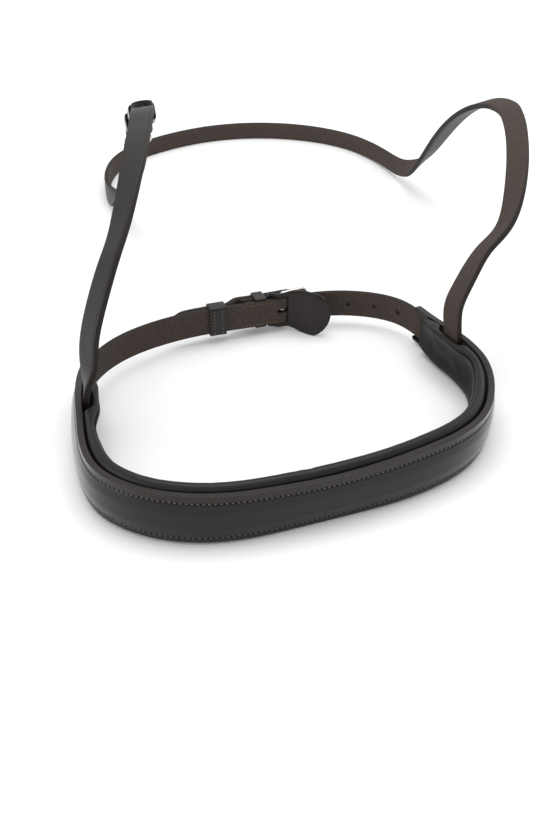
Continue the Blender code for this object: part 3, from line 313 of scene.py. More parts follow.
def finish_mesh(name, verts, faces, place, body, finish, angle=40):
    """Mesh in metres from millimetres, with the pattern attribute (along, across, side)."""
    mesh = bpy.data.meshes.new(name)
    mesh.from_pydata((np.reshape(verts, (-1, 3)) * MM).tolist(), [], faces)
    if place is not None:
        layer = mesh.attributes.new("place", "FLOAT_VECTOR", "POINT")
        layer.data.foreach_set("vector", np.asarray(place, np.float32).ravel())
    work = bmesh.new()
    work.from_mesh(mesh)
    bmesh.ops.recalc_face_normals(work, faces=work.faces)
    work.to_mesh(mesh)
    work.free()
    mesh.shade_smooth()
    mesh.set_sharp_from_angle(angle=math.radians(angle))
    piece = bpy.data.objects.new(name, mesh)
    bpy.context.scene.collection.objects.link(piece)
    if finish:
        mesh.materials.append(finish)
    if body:
        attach(piece, body)
    return piece


def ring_faces(rows, cols, closed_rows=False):
    """Quads between neighbouring rings, and a lid on each end unless the rows close."""
    i = np.arange(rows if closed_rows else rows - 1)[:, None]
    j = np.arange(cols)[None, :]
    i2, j2 = (i + 1) % rows, (j + 1) % cols
    quads = columns(i * cols + j, i2 * cols + j, i2 * cols + j2, i * cols + j2)
    quads = quads.reshape(-1, 4).tolist()
    if not closed_rows:
        quads += [list(range(cols)), list(range(rows * cols - 1, (rows - 1) * cols - 1, -1))]
    return quads


def strap_section(lanes=9, corner=5):
    """Unit section of a strap, as shares: (across, across round, up, up round)."""
    lane, turn = np.linspace(-1, 1, lanes)[1:-1], np.radians(np.linspace(-90, 90, corner))
    flat, one = np.zeros(len(lane)), np.ones(len(turn))
    across = np.concatenate([lane, one, lane[::-1], -one])
    round_w = np.concatenate([flat, np.cos(turn), flat, -np.cos(turn)])
    up = np.concatenate([flat - 1, np.sin(turn), flat + 1, -np.sin(turn)])
    return across, round_w, np.sign(np.round(up, 6)), up


def strap(name, route, track, half, thick, edge, body, finish, middle=0.0,
          along=None, lanes=9):
    """A strap whose middle follows a track of (s, n), its edges rounded by a radius. Its
    pattern attribute is the distance along it, that inside its edge, and its side."""
    track = np.asarray(track, float)
    run = run_of(track)
    square = columns(-run[:, 1], run[:, 0])
    across, round_w, up, round_up = strap_section(lanes)
    half = np.broadcast_to(np.asarray(half, float), len(track))[:, None]
    body_half = np.broadcast_to(np.asarray(thick, float) / 2, len(track))[:, None]
    edge = np.minimum(edge, body_half)
    w = across * (half - edge) + round_w * edge
    h = up * (body_half - edge) + round_up * edge
    s = track[:, :1] + h * square[:, :1]
    n = track[:, 1:] + h * square[:, 1:]
    if along is None:
        along = gone_along(track)
    points = route.at(s, middle + w, n)
    grain = np.sign(run[0, 0]) * round_up
    place = columns(along[:, None], half - np.abs(w), grain)
    return finish_mesh(name, points, ring_faces(*w.shape), place, body, finish)


def rod(name, path, radius, body, finish, closed=False, sides=14):
    """A round wire: rings of one radius along a path, turned as little as possible."""
    path = np.asarray(path, float)
    tangent = run_of(path, closed)
    normal = [unit(np.cross(tangent[0], [0.31, 0.52, 0.79]))]
    for step in tangent[1:]:
        normal.append(unit(normal[-1] - np.dot(normal[-1], step) * step))
    normal = np.array(normal)
    if closed:
        first, last = normal[0], unit(normal[-1] - np.dot(normal[-1], tangent[0]) * tangent[0])
        slip = math.atan2(np.dot(np.cross(last, first), tangent[0]), np.dot(last, first))
        turn = np.linspace(0, slip, len(path), endpoint=False)[:, None]
        normal = normal * np.cos(turn) + np.cross(tangent, normal) * np.sin(turn)
    other = np.cross(tangent, normal)
    angle = np.linspace(0, 2 * math.pi, sides, endpoint=False)
    radius = np.broadcast_to(radius, len(path))[:, None, None]
    rings = path[:, None] + radius * (normal[:, None] * np.cos(angle)[:, None]
                                      + other[:, None] * np.sin(angle)[:, None])
    return finish_mesh(name, rings, ring_faces(len(path), sides, closed), None, body,
                       finish)


def stitches(name, rows, length, radius, body, finish, slant=0.0):
    """Thread: one small capsule per stitch, its middle, direction and outside given,
    turned a little within the surface by the slant, a tangent."""
    middle, along, out = (np.concatenate(part) for part in zip(*rows))
    along = unit(along + slant * unit(np.cross(out, along)))
    across = unit(np.cross(out, along))
    out = np.cross(along, across)
    x = np.array([-1, -0.72, 0, 0.72, 1.0]) * length / 2
    swell = np.array([0.3, 0.85, 1.0, 0.85, 0.3]) * radius
    dip = np.array([-0.9, -0.15, 0.0, -0.15, -0.9]) * radius
    angle = np.linspace(0, 2 * math.pi, 6, endpoint=False)
    grid = (middle[:, None, None] + x[:, None, None] * along[:, None, None]
            + (swell[:, None] * np.cos(angle))[..., None] * across[:, None, None]
            + (swell[:, None] * np.sin(angle) + dip[:, None])[..., None]
            * out[:, None, None])
    rings, sides = len(x), len(angle)
    one = ring_faces(rings, sides)
    faces = [[v + k * rings * sides for v in face] for k in range(len(middle))
             for face in one]
    finish_mesh(name, grid, faces, None, body, finish, 80)


def stitch_row(route, s, w, n, out=1):
    """Middles, directions and outsides of a row of stitches laid on a route; out is -1
    on a flesh side."""
    middle = route.at(s, w, n)
    return middle, run_of(middle), unit(route.at(s, w, n + out) - middle)


def cut_with(piece, verts, faces):
    """Take a closed shape out of the piece, for good."""
    cutter = finish_mesh("cut", verts, faces, None, None, None)
    boolean = piece.modifiers.new("cut", "BOOLEAN")
    boolean.operation, boolean.solver, boolean.object = "DIFFERENCE", "EXACT", cutter
    solid = bpy.data.meshes.new_from_object(
        piece.evaluated_get(bpy.context.evaluated_depsgraph_get()))
    piece.modifiers.clear()
    old, piece.data = piece.data, solid
    bpy.data.meshes.remove(old)
    bpy.data.objects.remove(cutter, do_unlink=True)


def cut_box(piece, b, q, w, n):
    """Take a box out of the piece, its ranges given in a buckle's own frame."""
    corners = [(x, y, z) for x in q for y in w for z in n]
    cut_with(piece, b.world(np.array(corners)), [
        (0, 1, 3, 2), (4, 6, 7, 5), (0, 4, 5, 1), (2, 3, 7, 6), (0, 2, 6, 4), (1, 5, 7, 3)])


def punch(piece, middle, along, across, half_length, depth=5, sides=28):
    """A hole through a strap, narrower on the grain side, where the leather closes up,
    and oval if half_length is more than its radius."""
    flesh, grain = 1.35, 0.45
    angle = np.linspace(0, 2 * math.pi, sides, endpoint=False)
    stretch = (half_length - HOLE_RADIUS) * np.sign(np.round(np.cos(angle), 3))
    rim = (along * (np.cos(angle) * HOLE_RADIUS + stretch)[:, None]
           + across * (np.sin(angle) * HOLE_RADIUS)[:, None])
    half = np.cross(along, across) * depth / 2
    tube = np.stack([middle + rim * flesh - half, middle + rim * grain + half])
    cut_with(piece, tube, ring_faces(len(tube), sides))


# Finishes


class Socket:
    """A shader value that takes part in Python sums; each sum adds a Math node."""

    def __init__(self, finish, socket):
        self.finish, self.socket = finish, socket

    def math(self, operation, *values):
        return self.finish.node("ShaderNodeMath", {"operation": operation}, values)

    def __add__(self, other):
        return self.math("ADD", self, other)

    def __sub__(self, other):
        return self.math("SUBTRACT", self, other)

    def __rsub__(self, other):
        return self.math("SUBTRACT", other, self)

    def __mul__(self, other):
        return self.math("MULTIPLY", self, other)

    def __mod__(self, other):
        return self.math("FLOORED_MODULO", self, other)

    __radd__, __rmul__ = __add__, __mul__

    def abs(self):
        return self.math("ABSOLUTE", self)

    def step(self, low, high):
        """0 at low and 1 at high, smooth between; the other way round if high < low."""
        turned = low > high
        ends = (high, low, 1.0, 0.0) if turned else (low, high, 0.0, 1.0)
        return self.finish.node("ShaderNodeMapRange", {"interpolation_type": "SMOOTHSTEP"},
                                (self, *ends))


class Finish:
    """A material under construction, with its Principled shader."""

    def __init__(self, name, roughness=0.5, metallic=0.0, **fixed):
        self.material = bpy.data.materials.new(name)
        self.material.use_nodes = True
        tree = self.material.node_tree
        self.nodes, self.links = tree.nodes, tree.links
        self.shader = self.nodes["Principled BSDF"]
        for socket, value in {"Roughness": roughness, "Metallic": metallic, **fixed}.items():
            self.shader.inputs[socket].default_value = value

    def node(self, kind, settings, values, output=0):
        made = self.nodes.new(kind)
        for key, value in settings.items():
            setattr(made, key, value)
        slots = values.items() if isinstance(values, dict) else enumerate(values)
        for key, value in slots:
            self.feed(made.inputs[key], value)
        return Socket(self, made.outputs[output])

    def feed(self, socket, value):
        if isinstance(value, Socket):
            self.links.new(value.socket, socket)
        elif value is not None:
            socket.default_value = (*value, 1.0) if (
                isinstance(value, tuple) and socket.type == "RGBA") else value

    def set(self, **sockets):
        for name, value in sockets.items():
            self.feed(self.shader.inputs[name.replace("_", " ")], value)
        return self.material

    def where(self):
        """Object coordinates in millimetres."""
        place = self.node("ShaderNodeTexCoord", {}, (), 3)
        return self.node("ShaderNodeVectorMath", {"operation": "SCALE"},
                         {0: place, "Scale": 1000.0})

    def place(self):
        """The pattern attribute's parts: along, across and side."""
        whole = self.node("ShaderNodeAttribute", {"attribute_name": "place"}, (), 1)
        parts = self.node("ShaderNodeSeparateXYZ", {}, (whole,)).socket.node
        return [Socket(self, part) for part in parts.outputs]

    def noise(self, where, size, detail=3.0, rough=0.55, stretch=None):
        """Noise from 0 to 1 with features of about the given size in millimetres."""
        if stretch:
            where = self.node("ShaderNodeVectorMath", {"operation": "MULTIPLY"},
                              {0: where, 1: stretch})
        return self.node("ShaderNodeTexNoise", {}, {
            "Vector": where, "Scale": 1.0 / size, "Detail": detail, "Roughness": rough})

    def cells(self, where, size, feature="F1"):
        """Distance inside cells of the given size."""
        return self.node("ShaderNodeTexVoronoi", {"feature": feature},
                         {"Vector": where, "Scale": 1.0 / size})

    def colour(self, share, low, high):
        """The mix of two colours by a share."""
        return self.node("ShaderNodeMix", {"data_type": "RGBA"},
                         {0: share, 6: low, 7: high}, 2)

    def bump(self, height, distance, strength=1.0):
        """A Bump node for a height given as a share of a distance in millimetres."""
        return self.node("ShaderNodeBump", {}, {
            "Height": height, "Distance": distance * MM, "Strength": strength})


def grain_leather(name, tone, soft=0.42, rows=False):
    """Dark grain side: fine pores, slow mottling and brown edges. With rows, browner
    margins outside the thread, which lies in pricked holes; the holes and their groove
    are painted dark as shade."""
    f = Finish(name, **{"Specular IOR Level": 0.12, "Coat Roughness": 0.20,
                        "Coat IOR": 1.28})
    where = f.where()
    along, across, side = f.place()
    mottle, pores = f.noise(where, 9.0), f.cells(where, 0.55)
    fine, speck = f.noise(where, 0.35, 2.0), f.noise(where, 0.9, 3.0, 0.65)
    face = side.step(0.35, 0.85)
    skin = f.colour(mottle, tone, tuple(1.3 * t for t in tone))
    rim = f.colour(f.noise(where, 2.0), (0.012, 0.0098, 0.0086), (0.023, 0.0185, 0.016))
    height = pores * 0.35 + fine * 0.65 + mottle * 0.3
    if rows:
        margin = across.step(0.1, 0.5)
        brown = f.colour(speck, (0.012, 0.0100, 0.0090), (0.024, 0.0190, 0.0165))
        skin = f.colour(margin, skin, brown)
    colour, coat = f.colour(face, rim, skin), 0.9
    if rows:
        # Painted shade: the stitch groove and the pricked holes along it are darkened towards
        # near-black, as shade falls in them; the same masks also sink the bump and thin the
        # coat.
        groove_and_shade = across.abs().step(0.72, 0.25) * face
        hole = ((along % PITCH) - PITCH / 2).abs().step(PITCH / 2 - 0.65, PITCH / 2 - 0.3)
        colour = f.colour(groove_and_shade * (hole * 0.9 + 0.1), colour, (0.003, 0.002, 0.002))
        height = height - groove_and_shade * (hole * 5.0 + 1.0) + speck * margin * 0.8
        coat = 0.9 - groove_and_shade * (hole * 0.8 + 0.1)
    rough = mottle * 0.10 + (soft - 0.05) + (1 - face) * 0.2
    return f.set(Base_Color=colour, Roughness=rough, Coat_Weight=coat,
                 Normal=f.bump(height, 0.07, 0.8))


def strap_leather(name):
    """Strap: dark grain on its outer side, speckled brown flesh side, burnished edge."""
    f = Finish(name, **{"Specular IOR Level": 0.28})
    where = f.where()
    _, across, side = f.place()
    mottle, fine = f.noise(where, 7.0), f.noise(where, 0.4, 3.0)
    pores = f.cells(where, 0.6)
    grain, flesh = side.step(0.4, 0.9), side.step(-0.4, -0.9)
    speck = f.noise(where, 0.9, 4.0, 0.7).step(0.40, 0.68)
    fibres = f.noise(where, 3.0, 4.0)
    skin = f.colour(mottle, (0.013, 0.0112, 0.0102), (0.020, 0.0168, 0.0150))
    back = f.colour(speck, (0.041, 0.031, 0.026), (0.072, 0.053, 0.044))
    back = f.colour(fibres * 0.5, back, (0.044, 0.034, 0.030))
    edge = f.colour(fine, (0.009, 0.0070, 0.0060), (0.019, 0.0145, 0.0120))
    # Painted shade: a thin crease line inside each edge of the grain side is darkened towards
    # near-black, as shade in the groove; the bump sinks it too.
    crease = (across - 1.15).abs().step(0.28, 0.08) * grain
    colour = f.colour(flesh, f.colour(grain, edge, skin), back)
    colour = f.colour(crease * 0.8, colour, (0.005, 0.004, 0.0035))
    height = ((pores * 0.4 + fine * 0.6 - crease * 4.0) * grain
              + (fine * 0.9 + speck * 0.7) * flesh)
    rough = 0.60 - grain * 0.20 + flesh * 0.22 + mottle * 0.10
    return f.set(Base_Color=colour, Roughness=rough, Normal=f.bump(height, 0.10, 0.8))


def lining_leather(name):
    """Soft black lining: close pebbled grain with fine stretch lines, matt in the dish
    and rubbed to a low sheen on the rolls; the dish is also painted darker as shade."""
    f = Finish(name, **{"Specular IOR Level": 0.18, "Coat Roughness": 0.22,
                        "Coat IOR": 1.45})
    where = f.where()
    _, _, rolled = f.place()
    mottle = f.noise(where, 12.0)
    pebble = f.cells(where, 0.6, "SMOOTH_F1")
    fine = f.noise(where, 0.4, 3.0)
    lines = f.noise(where, 2.2, 3.0, 0.6, (1.0, 1.0, 0.25))
    colour = f.colour(mottle, (0.0070, 0.0067, 0.0066), (0.0112, 0.0107, 0.0104))
    # Painted shade: away from the rolls, on the dish and the walls, the base colour is darker,
    # so the rolls read as lit over a shaded dish.
    colour = f.colour(rolled, (0.0052, 0.0048, 0.0046), colour)
    height = pebble * 0.8 + fine * 0.5 + lines * 0.6
    rough = mottle * 0.10 + 0.52 - rolled * 0.12 + fine * 0.08
    return f.set(Base_Color=colour, Roughness=rough, Coat_Weight=rolled * 0.17 + 0.01,
                 Normal=f.bump(height, 0.08, 0.8))


def thread(name, low=(0.055, 0.044, 0.040), high=(0.17, 0.145, 0.13)):
    """Waxed linen thread: two plies that show as a fine twist."""
    f = Finish(name, 0.6)
    where = f.where()
    ply = f.noise(where, 0.35, 2.0)
    tint = f.noise(where, 6.0)
    colour = f.colour(ply * 0.6 + tint * 0.4, low, high)
    return f.set(Base_Color=colour, Normal=f.bump(ply, 0.08))


def steel(name):
    """Polished stainless wire with faint rubbing marks."""
    f = Finish(name, 0.2, 1.0)
    where = f.where()
    rub = f.noise(where, 1.6, 4.0, 0.6, (1.0, 1.0, 3.0))
    colour = f.colour(rub, (0.50, 0.485, 0.46), (0.74, 0.725, 0.70))
    return f.set(Base_Color=colour, Roughness=rub * 0.16 + 0.12,
                 Normal=f.bump(rub, 0.03, 0.5))


def foam(name):
    """Closed-cell foam: small round cells on dark grey."""
    f = Finish(name, 0.95)
    cells = f.cells(f.where(), 0.8)
    return f.set(Base_Color=f.colour(cells, (0.05, 0.05, 0.055), (0.12, 0.12, 0.13)),
                 Normal=f.bump(cells, 0.3))


BAND = grain_leather("band_leather", (0.0080, 0.0071, 0.0062), 0.36, rows=True)
KEEPER = grain_leather("keeper_leather", (0.0125, 0.0108, 0.0098), 0.44)
GUARD = grain_leather("guard_leather", (0.0108, 0.0094, 0.0086), 0.62)
STRAP, LINING = strap_leather("rear_strap_leather"), lining_leather("padded_lining")
BACKING, THREAD = strap_leather("backing_leather"), thread("thread")
CHAPE_THREAD = thread("chape_thread", (0.09, 0.052, 0.030), (0.30, 0.17, 0.10))
STEEL, FOAM = steel("buckle_wire"), foam("pad_foam")

# Nosepiece


def band_edges(u):
    """The front band's top and lower edge, drawn in towards both ends."""
    past = ease((np.abs(u) - BAND_TAPER_FROM) / BAND_TAPER)
    into = np.clip((np.abs(u) - BAND_END + BAND_THICK) / BAND_THICK, 0, 1)
    corner = 1.1 * (1 - np.sqrt(1 - into ** 2))
    top, foot = (mix(BAND_TOP, end, past) for end in (BAND_END_TOP, BAND_END_FOOT))
    return top - corner, corner - foot


def band_profile(top, foot):
    """Section of the moulded band as (w, n): flat margins, a middle raised over the
    filler, and edges burnished into one with those of the layer behind."""
    rim, level, strip = 0.32, BACKING_THICK + BAND_THICK, 1.3
    turn = np.radians(np.linspace(0, 90, 6))
    stops, counts = (0, 0.09, 0.28, 0.72, 0.91, 1), (4, 11, 8, 11, 4)
    share = np.concatenate([np.linspace(a, b, count, endpoint=False) for a, b, count
                            in zip(stops, stops[1:], counts)] + [[1.0]])
    w = mix(foot + rim, top - rim, share)
    inside = np.minimum(top - THREAD_TOP - w, w - foot - THREAD_FOOT)
    fall = -0.05 * np.maximum(-inside, 0)
    crown = 0.30 * (1 - (2 * share - 1) ** 2)
    ditch = -0.10 * np.exp(-(inside / 0.45) ** 2)
    lip = 0.10 * np.exp(-(np.minimum(top - w, w - foot) / 0.7) ** 2)
    rise = 0.35 * ease((inside - 0.1) / 1.2) + 0.65 * ease(inside / 6)
    n = level + fall + ditch + lip + rise + crown * ease(inside / 6)
    high = columns(top - rim + rim * np.sin(turn), n[-1] - rim + rim * np.cos(turn))
    low = columns(foot + rim - rim * np.sin(turn), n[0] - rim + rim * np.cos(turn))
    outer = np.vstack([low[::-1][:-1], columns(w, n), high[1:]])
    side = np.concatenate([np.cos(turn)[::-1][:-1], np.ones(len(w)), np.cos(turn)[1:]])
    inner = columns(w, np.maximum(BACKING_THICK, n - BAND_THICK))[3:-3:3][::-1]
    turned = np.array([(0, 0.25), (0.2, 0.05), (strip - 0.05, 0.05), (strip, 1.6)])
    within = (inner[:, 0] < top - strip - 0.1) & (inner[:, 0] > foot + strip + 0.1)
    inner = np.vstack([turned * [-1, 1] + [top, 0], inner[within],
                       (turned + [foot, 0])[::-1]])
    back = np.concatenate([[0.0, -0.3], -np.ones(len(inner) - 4), [-0.3, 0.0]])
    return np.vstack([outer, inner]), np.concatenate([side, back])


def front_band():
    """The band's sections swept round the nose, closer together at its rounded ends."""
    end = BAND_END - np.array([1.7, 0.9, 0.4, 0.1, 0.0])
    u = np.concatenate([-end[::-1], np.arange(3 - BAND_END, BAND_END - 2.9, 1.5), end])
    rings, place = [], []
    for value, top, foot in zip(u, *band_edges(u)):
        outline, side = band_profile(top, foot)
        rings.append(LOOP.at(NOSE_MIDDLE + value, outline[:, 0], outline[:, 1]))
        row = np.where(outline[:, 0] > 0, outline[:, 0] - top + THREAD_TOP,
                       foot + THREAD_FOOT - outline[:, 0])
        place.append(columns(value + 125 * PITCH, row, side))
    piece = finish_mesh("front_band_leather", rings, ring_faces(len(rings), len(rings[0])),
                        place, "noseband", BAND)
    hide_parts("front_band")


def band_thread():
    """Both rows of stitches, each stitch between two of the band's holes."""
    u = np.arange(-83.5 * PITCH, 200, PITCH)
    top, foot = band_edges(u)
    rows = [stitch_row(LOOP, NOSE_MIDDLE + u, w, THREAD_LEVEL)
            for w in (top - THREAD_TOP, foot + THREAD_FOOT)]
    stitches("band_thread", rows, 1.5, 0.28, "noseband", THREAD, slant=-0.25)


def backing():
    """The layer behind the band, set in from its edges."""
    u = np.arange(-BACKING_END, BACKING_END + 0.1, 2.0)
    top, foot = band_edges(u)
    track = columns(NOSE_MIDDLE + u, 0.82)
    piece = strap("backing_layer", LOOP, track, (top - foot) / 2 - 1.4, 1.6, 0.10,
                  "noseband", BACKING, middle=((top + foot) / 2)[:, None],
                  lanes=5)
    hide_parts("backing_band")


def pocket_push(u, w, fade):
    """How far the pad stands off the band to leave room for a strap end."""
    deep = mix(0.12, 1.0, ease((w + 9) / 12.5))
    return POCKET_DEPTH * deep * (1 - ease((np.abs(np.abs(u) - SLOT) - POCKET_HALF) / fade))


def lining_outline(u):
    """Closed section of the pad: a roll at each edge, a dish between, flat to the band."""
    thin = ease((abs(u) - PAD_FULL_TO) / (PAD_THIN_FROM - PAD_FULL_TO))
    past = (max(0.0, abs(u) - PAD_THIN_FROM) / (LINING_END - PAD_THIN_FROM)) ** 2
    half = mix(mix(14.2, 12.6, thin), 9.0, past)
    roll = mix(mix(3.6, 1.8, thin), 1.5, past)
    middle = -(GAP + roll)
    straight = half - roll
    turn = np.linspace(0, math.pi, 19)
    top = columns(straight + roll * np.sin(turn), middle + roll * np.cos(turn))
    share = np.linspace(1, -1, 21)[1:-1]
    dish = 1.9 * (1 - past) * (1 - share ** 2) ** 2
    inner = columns(share * straight, middle - roll + dish)
    foot = top[::-1] * [-1, 1]
    back = columns(np.linspace(-straight, straight, 7)[1:-1], middle + roll)
    outline = np.vstack([top, inner, foot, back])
    side = ease((outline[:, 1] - middle) / roll * 0.5 + 0.5)
    push = mix(pocket_push(u, outline[:, 0], 22), pocket_push(u, outline[:, 0], 6.5), side)
    outline[:, 1] -= push + 0.7 * (1 - thin) * side * ease((abs(outline[:, 0]) - 8) / 3.2)
    return outline, middle - push


def padded_lining():
    """Soft leather over foam: the outline swept round, with gathers in the rolls."""
    u = np.arange(-LINING_END, LINING_END + 0.1, 1.25)
    rng = np.random.default_rng(7)
    folds = rng.uniform(-190, 190, 40)
    depth, width = rng.uniform(0.02, 0.09, 40), rng.uniform(0.8, 2.2, 40)
    folds[0], depth[0], width[0] = -6.0, 0.30, 2.6
    rings, place = [], []
    for value in u:
        outline, middle = lining_outline(value)
        ring = outline.copy()
        away = outline - columns(0, middle)
        roll = ease((np.abs(outline[:, 0]) - 6.5) / 3.5) * (away[:, 1] < 2.5)
        lean = value - folds + 0.5 * away[:, 1:] * np.sign(folds + 40)
        pinch = (depth * np.exp(-(lean / width) ** 2)).sum(axis=1)
        wave = 0.08 * np.sin(value / 9.3 + outline[:, 0] / 3.0)
        push = (pinch + wave) * roll
        turned = np.arctan2(-away[:, 1], outline[:, 0] - 10.6)
        curve = ease((abs(value) - 78) / 26) * (1 - ease((abs(value) - 150) / 10))
        crease = 0.85 * curve * np.exp(-((turned - 0.95) / 0.2) ** 2) * (outline[:, 0] > 9)
        ring[:, 1] += (push + crease) * np.where(outline[:, 1] < middle, 0.8, -0.2)
        ring[:, 0] -= (push * 0.75 * np.sign(outline[:, 0]) + crease) * (outline[:, 0] > 0)
        rings.append(LOOP.at(NOSE_MIDDLE + value, ring[:, 0], ring[:, 1]))
        rolled = ease((np.abs(outline[:, 0]) - 7.5) / 3.5)
        place.append(columns(value, outline[:, 0], rolled))
    verts = np.array(rings)
    verts[..., 2] = np.maximum(verts[..., 2], 0.0)
    piece = finish_mesh("padded_lining_leather", verts, ring_faces(len(rings), len(rings[0])),
                        place, "noseband", LINING)
    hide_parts("lining_cover")


# Rear straps, guard and buckles


def rear_levels(u):
    """A rear strap's lower and upper face: thinned between the layers of the nosepiece."""
    past = ease((np.abs(u) - REAR_CLEAR_FROM) / 9)
    return mix(1.7, 0.0, past), mix(2.7, REAR_THICK, past)


def fold_track(b, step=0.5):
    """The strap's end round the bar: in on the flesh side, back outside it."""
    reach = 3.2 * b.fold
    q_in = np.arange(-reach, 0, step)
    flat, inner = b.thick / 2, b.bar_n - b.fold
    outer, high = b.back_low + b.thick / 2, b.bar_n + b.fold
    turn = np.linspace(-math.pi / 2, math.pi / 2, 25)
    arc = columns(b.fold * np.cos(turn), b.bar_n + b.fold * np.sin(turn))
    q_out = -np.arange(step, reach, step)
    tail = np.arange(-reach - step, -b.turn_back, -step * 2)
    return np.vstack([columns(q_in, mix(flat, inner, ease(1 + q_in / reach))), arc,
                      columns(q_out, mix(outer, high, ease(1 + q_out / reach))),
                      columns(tail, outer)])


def on_route(b, track):
    """A track of (q, n) as one of (s, n)."""
    return columns(b.s(track[:, 0]), track[:, 1])


def tip_half(q_past, width):
    """Half width of a pointed tip, by the distance from its end."""
    share = np.clip(q_past / TIP_LENGTH, 0, 1)
    return mix(TIP_HALF, width / 2, np.sqrt(1 - (1 - share) ** 2))


def overlap(b, step=0.75):
    """Places of the free strap over the buckle and on to its pointed tip."""
    q = np.concatenate([np.arange(b.reach + b.wire, TIP_LENGTH - b.tip_at, -step),
                        -b.tip_at + TIP_LENGTH * np.linspace(0.97, 0, 16) ** 1.6])
    return q, columns(b.s(q), b.free_low(q) + b.thick / 2)


def chape_slot(b, piece):
    """Slot in the fold for the tongue."""
    low = b.wire + 2 * TONGUE_WIRE + 2 * RUNNING_GAP + GAP
    high, half = b.fold + b.thick, TONGUE_WIRE + 0.25
    cut_box(piece, b, (-low, high), (-half, half), (-high, high))


def strap_holes(b, piece, ahead, behind):
    """Round holes at an even pitch, and the pulled oval one that holds the tongue."""
    half = b.thick / 2
    for index in range(-behind, ahead + 1):
        q = TONGUE_HOLE + index * HOLE_PITCH + np.array([-0.5, 0, 0.5])
        s, n = b.s(q), b.free_low(q) + half
        before, middle, after = b.route.at(s, 0, n)
        along = unit(after - before) * b.side
        across = unit(b.route.at(s[1], 1, n[1]) - middle)
        punch(piece, middle, along, across, HOLE_RADIUS if index else TONGUE_HOLE_HALF)


def buckle_strap():
    """The rear strap that is folded round the chin buckle's bar."""
    b = CHIN
    u = np.arange(REAR_FROM, LOOP.length - (CHIN_BAR + 3.3 * b.fold), STRAP_STEP)
    low, high = rear_levels(u)
    lead = columns(NOSE_MIDDLE + LOOP.length - u, (low + high) / 2)
    fold = on_route(b, fold_track(b))
    piece = strap("buckle_strap_leather", LOOP, np.vstack([lead, fold]), b.width / 2,
                  np.concatenate([high - low, np.full(len(fold), b.thick)]), 0.8,
                  "noseband", STRAP)
    chape_slot(b, piece)
    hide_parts("buckle_strap")


def billet_strap():
    """The rear strap with the holes, over the chin buckle and through its keepers."""
    b = CHIN
    u = np.arange(REAR_FROM, CHIN_BAR - b.reach - b.wire - 1, STRAP_STEP)
    low, high = rear_levels(u)
    lead = columns(NOSE_MIDDLE + u, (low + high) / 2)
    q, over = overlap(b)
    half = np.concatenate([np.full(len(u), b.width / 2), tip_half(q + b.tip_at, b.width)])
    piece = strap("billet_strap_leather", LOOP, np.vstack([lead, over]), half,
                  np.concatenate([high - low, np.full(len(q), b.thick)]), 0.8,
                  "noseband", STRAP)
    strap_holes(b, piece, 4, 2)
    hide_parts("billet_strap")


def guard_half(q):
    """Half width of the guard: neck, shoulders, and a round end."""
    neck = mix(7.4, 10.9, ease((q + 9.8) / 1.8))
    belly = mix(neck, GUARD_HALF, ease(q / GUARD_CENTRE))
    return belly * np.sqrt(1 - np.clip((q - GUARD_CENTRE) / GUARD_FRONT, 0, 1) ** 2)


def guard_level(q):
    """Middle of the guard: between the strap's layers, then leaning in behind it."""
    start = GUARD_WINDOW[0]
    down = mix(3.65, 0.75, ease((q - start - 0.6) / (-start - CHIN.fold)))
    return down - 11.5 * ease((q - CHIN.fold) / 15)


def buckle_guard():
    """The flap behind the chin buckle, with the window that the fold passes through."""
    b = CHIN
    turn = np.linspace(0.02, math.pi / 2, 22)
    q = np.concatenate([np.arange(-22, GUARD_CENTRE, 0.6),
                        GUARD_CENTRE + (GUARD_FRONT - 0.1) * np.sin(turn)])
    piece = strap("buckle_guard_leather", LOOP, columns(b.s(q), guard_level(q)),
                  guard_half(q), GUARD_THICK, 0.6, "noseband", GUARD,
                  along=q)
    half = b.width / 2 + 0.05
    cut_box(piece, b, GUARD_WINDOW, (-half, half), (-b.bar_n - GUARD_THICK, b.fold))
    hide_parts("buckle_guard")


def buckle_metal(kind, b):
    """Wire frame, lifted to its far crosspiece, and the tongue looped on its bar."""
    half, rise = b.width / 2 + SIDE_ROOM + b.wire, b.cross_n - b.bar_n
    points = []
    for sign_q, sign_w, start in ((1, 1, 0), (0, 1, 90), (0, -1, 180), (1, -1, 270)):
        corner = FRAME_CORNER if sign_q else SIDE_ROOM + b.wire
        points.append(corner_arc(b.reach - corner if sign_q else corner,
                                 sign_w * (half - corner), corner, start))
    loop = np.vstack([*points, points[0][:1]])
    gone = gone_along(loop)
    even = np.linspace(0, gone[-1], 120, endpoint=False)
    q, w = (np.interp(even, gone, side) for side in loop.T)
    lift = rise * ease((q - b.wire) / (b.reach - 2 * b.wire))
    piece = rod(kind + "_frame_wire", b.world(columns(q, w, lift)), b.wire,
                kind + "_frame", STEEL, closed=True)
    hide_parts(kind + "_buckle_frame")
    thin, ring = TONGUE_WIRE, b.wire + TONGUE_WIRE + RUNNING_GAP
    angle = np.radians(np.arange(115, 361, 35))
    rest, tip = rise + b.wire + RUNNING_GAP + thin, b.reach + 1.8
    hole = float(b.free_low(TONGUE_HOLE)) + b.thick / 2 - b.bar_n
    pin = np.vstack([ring * columns(np.cos(angle), np.sin(angle)),
                     [(ring + thin, 0.4 * hole),
                      (mix(ring, TONGUE_HOLE, 0.6), 0.85 * hole), (TONGUE_HOLE, hole),
                      (b.reach, rest), (tip, rest - 0.2)]])
    path = spline_through(columns(pin[:, 0], 0, pin[:, 1]), False, 9)
    size = thin * np.interp(np.arange(len(path)), [len(path) - 9, len(path) - 1], [1, 0.72])
    piece = rod(kind + "_tongue_pin", b.world(path), size, kind + "_tongue", STEEL)
    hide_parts(kind + "_buckle_tongue")


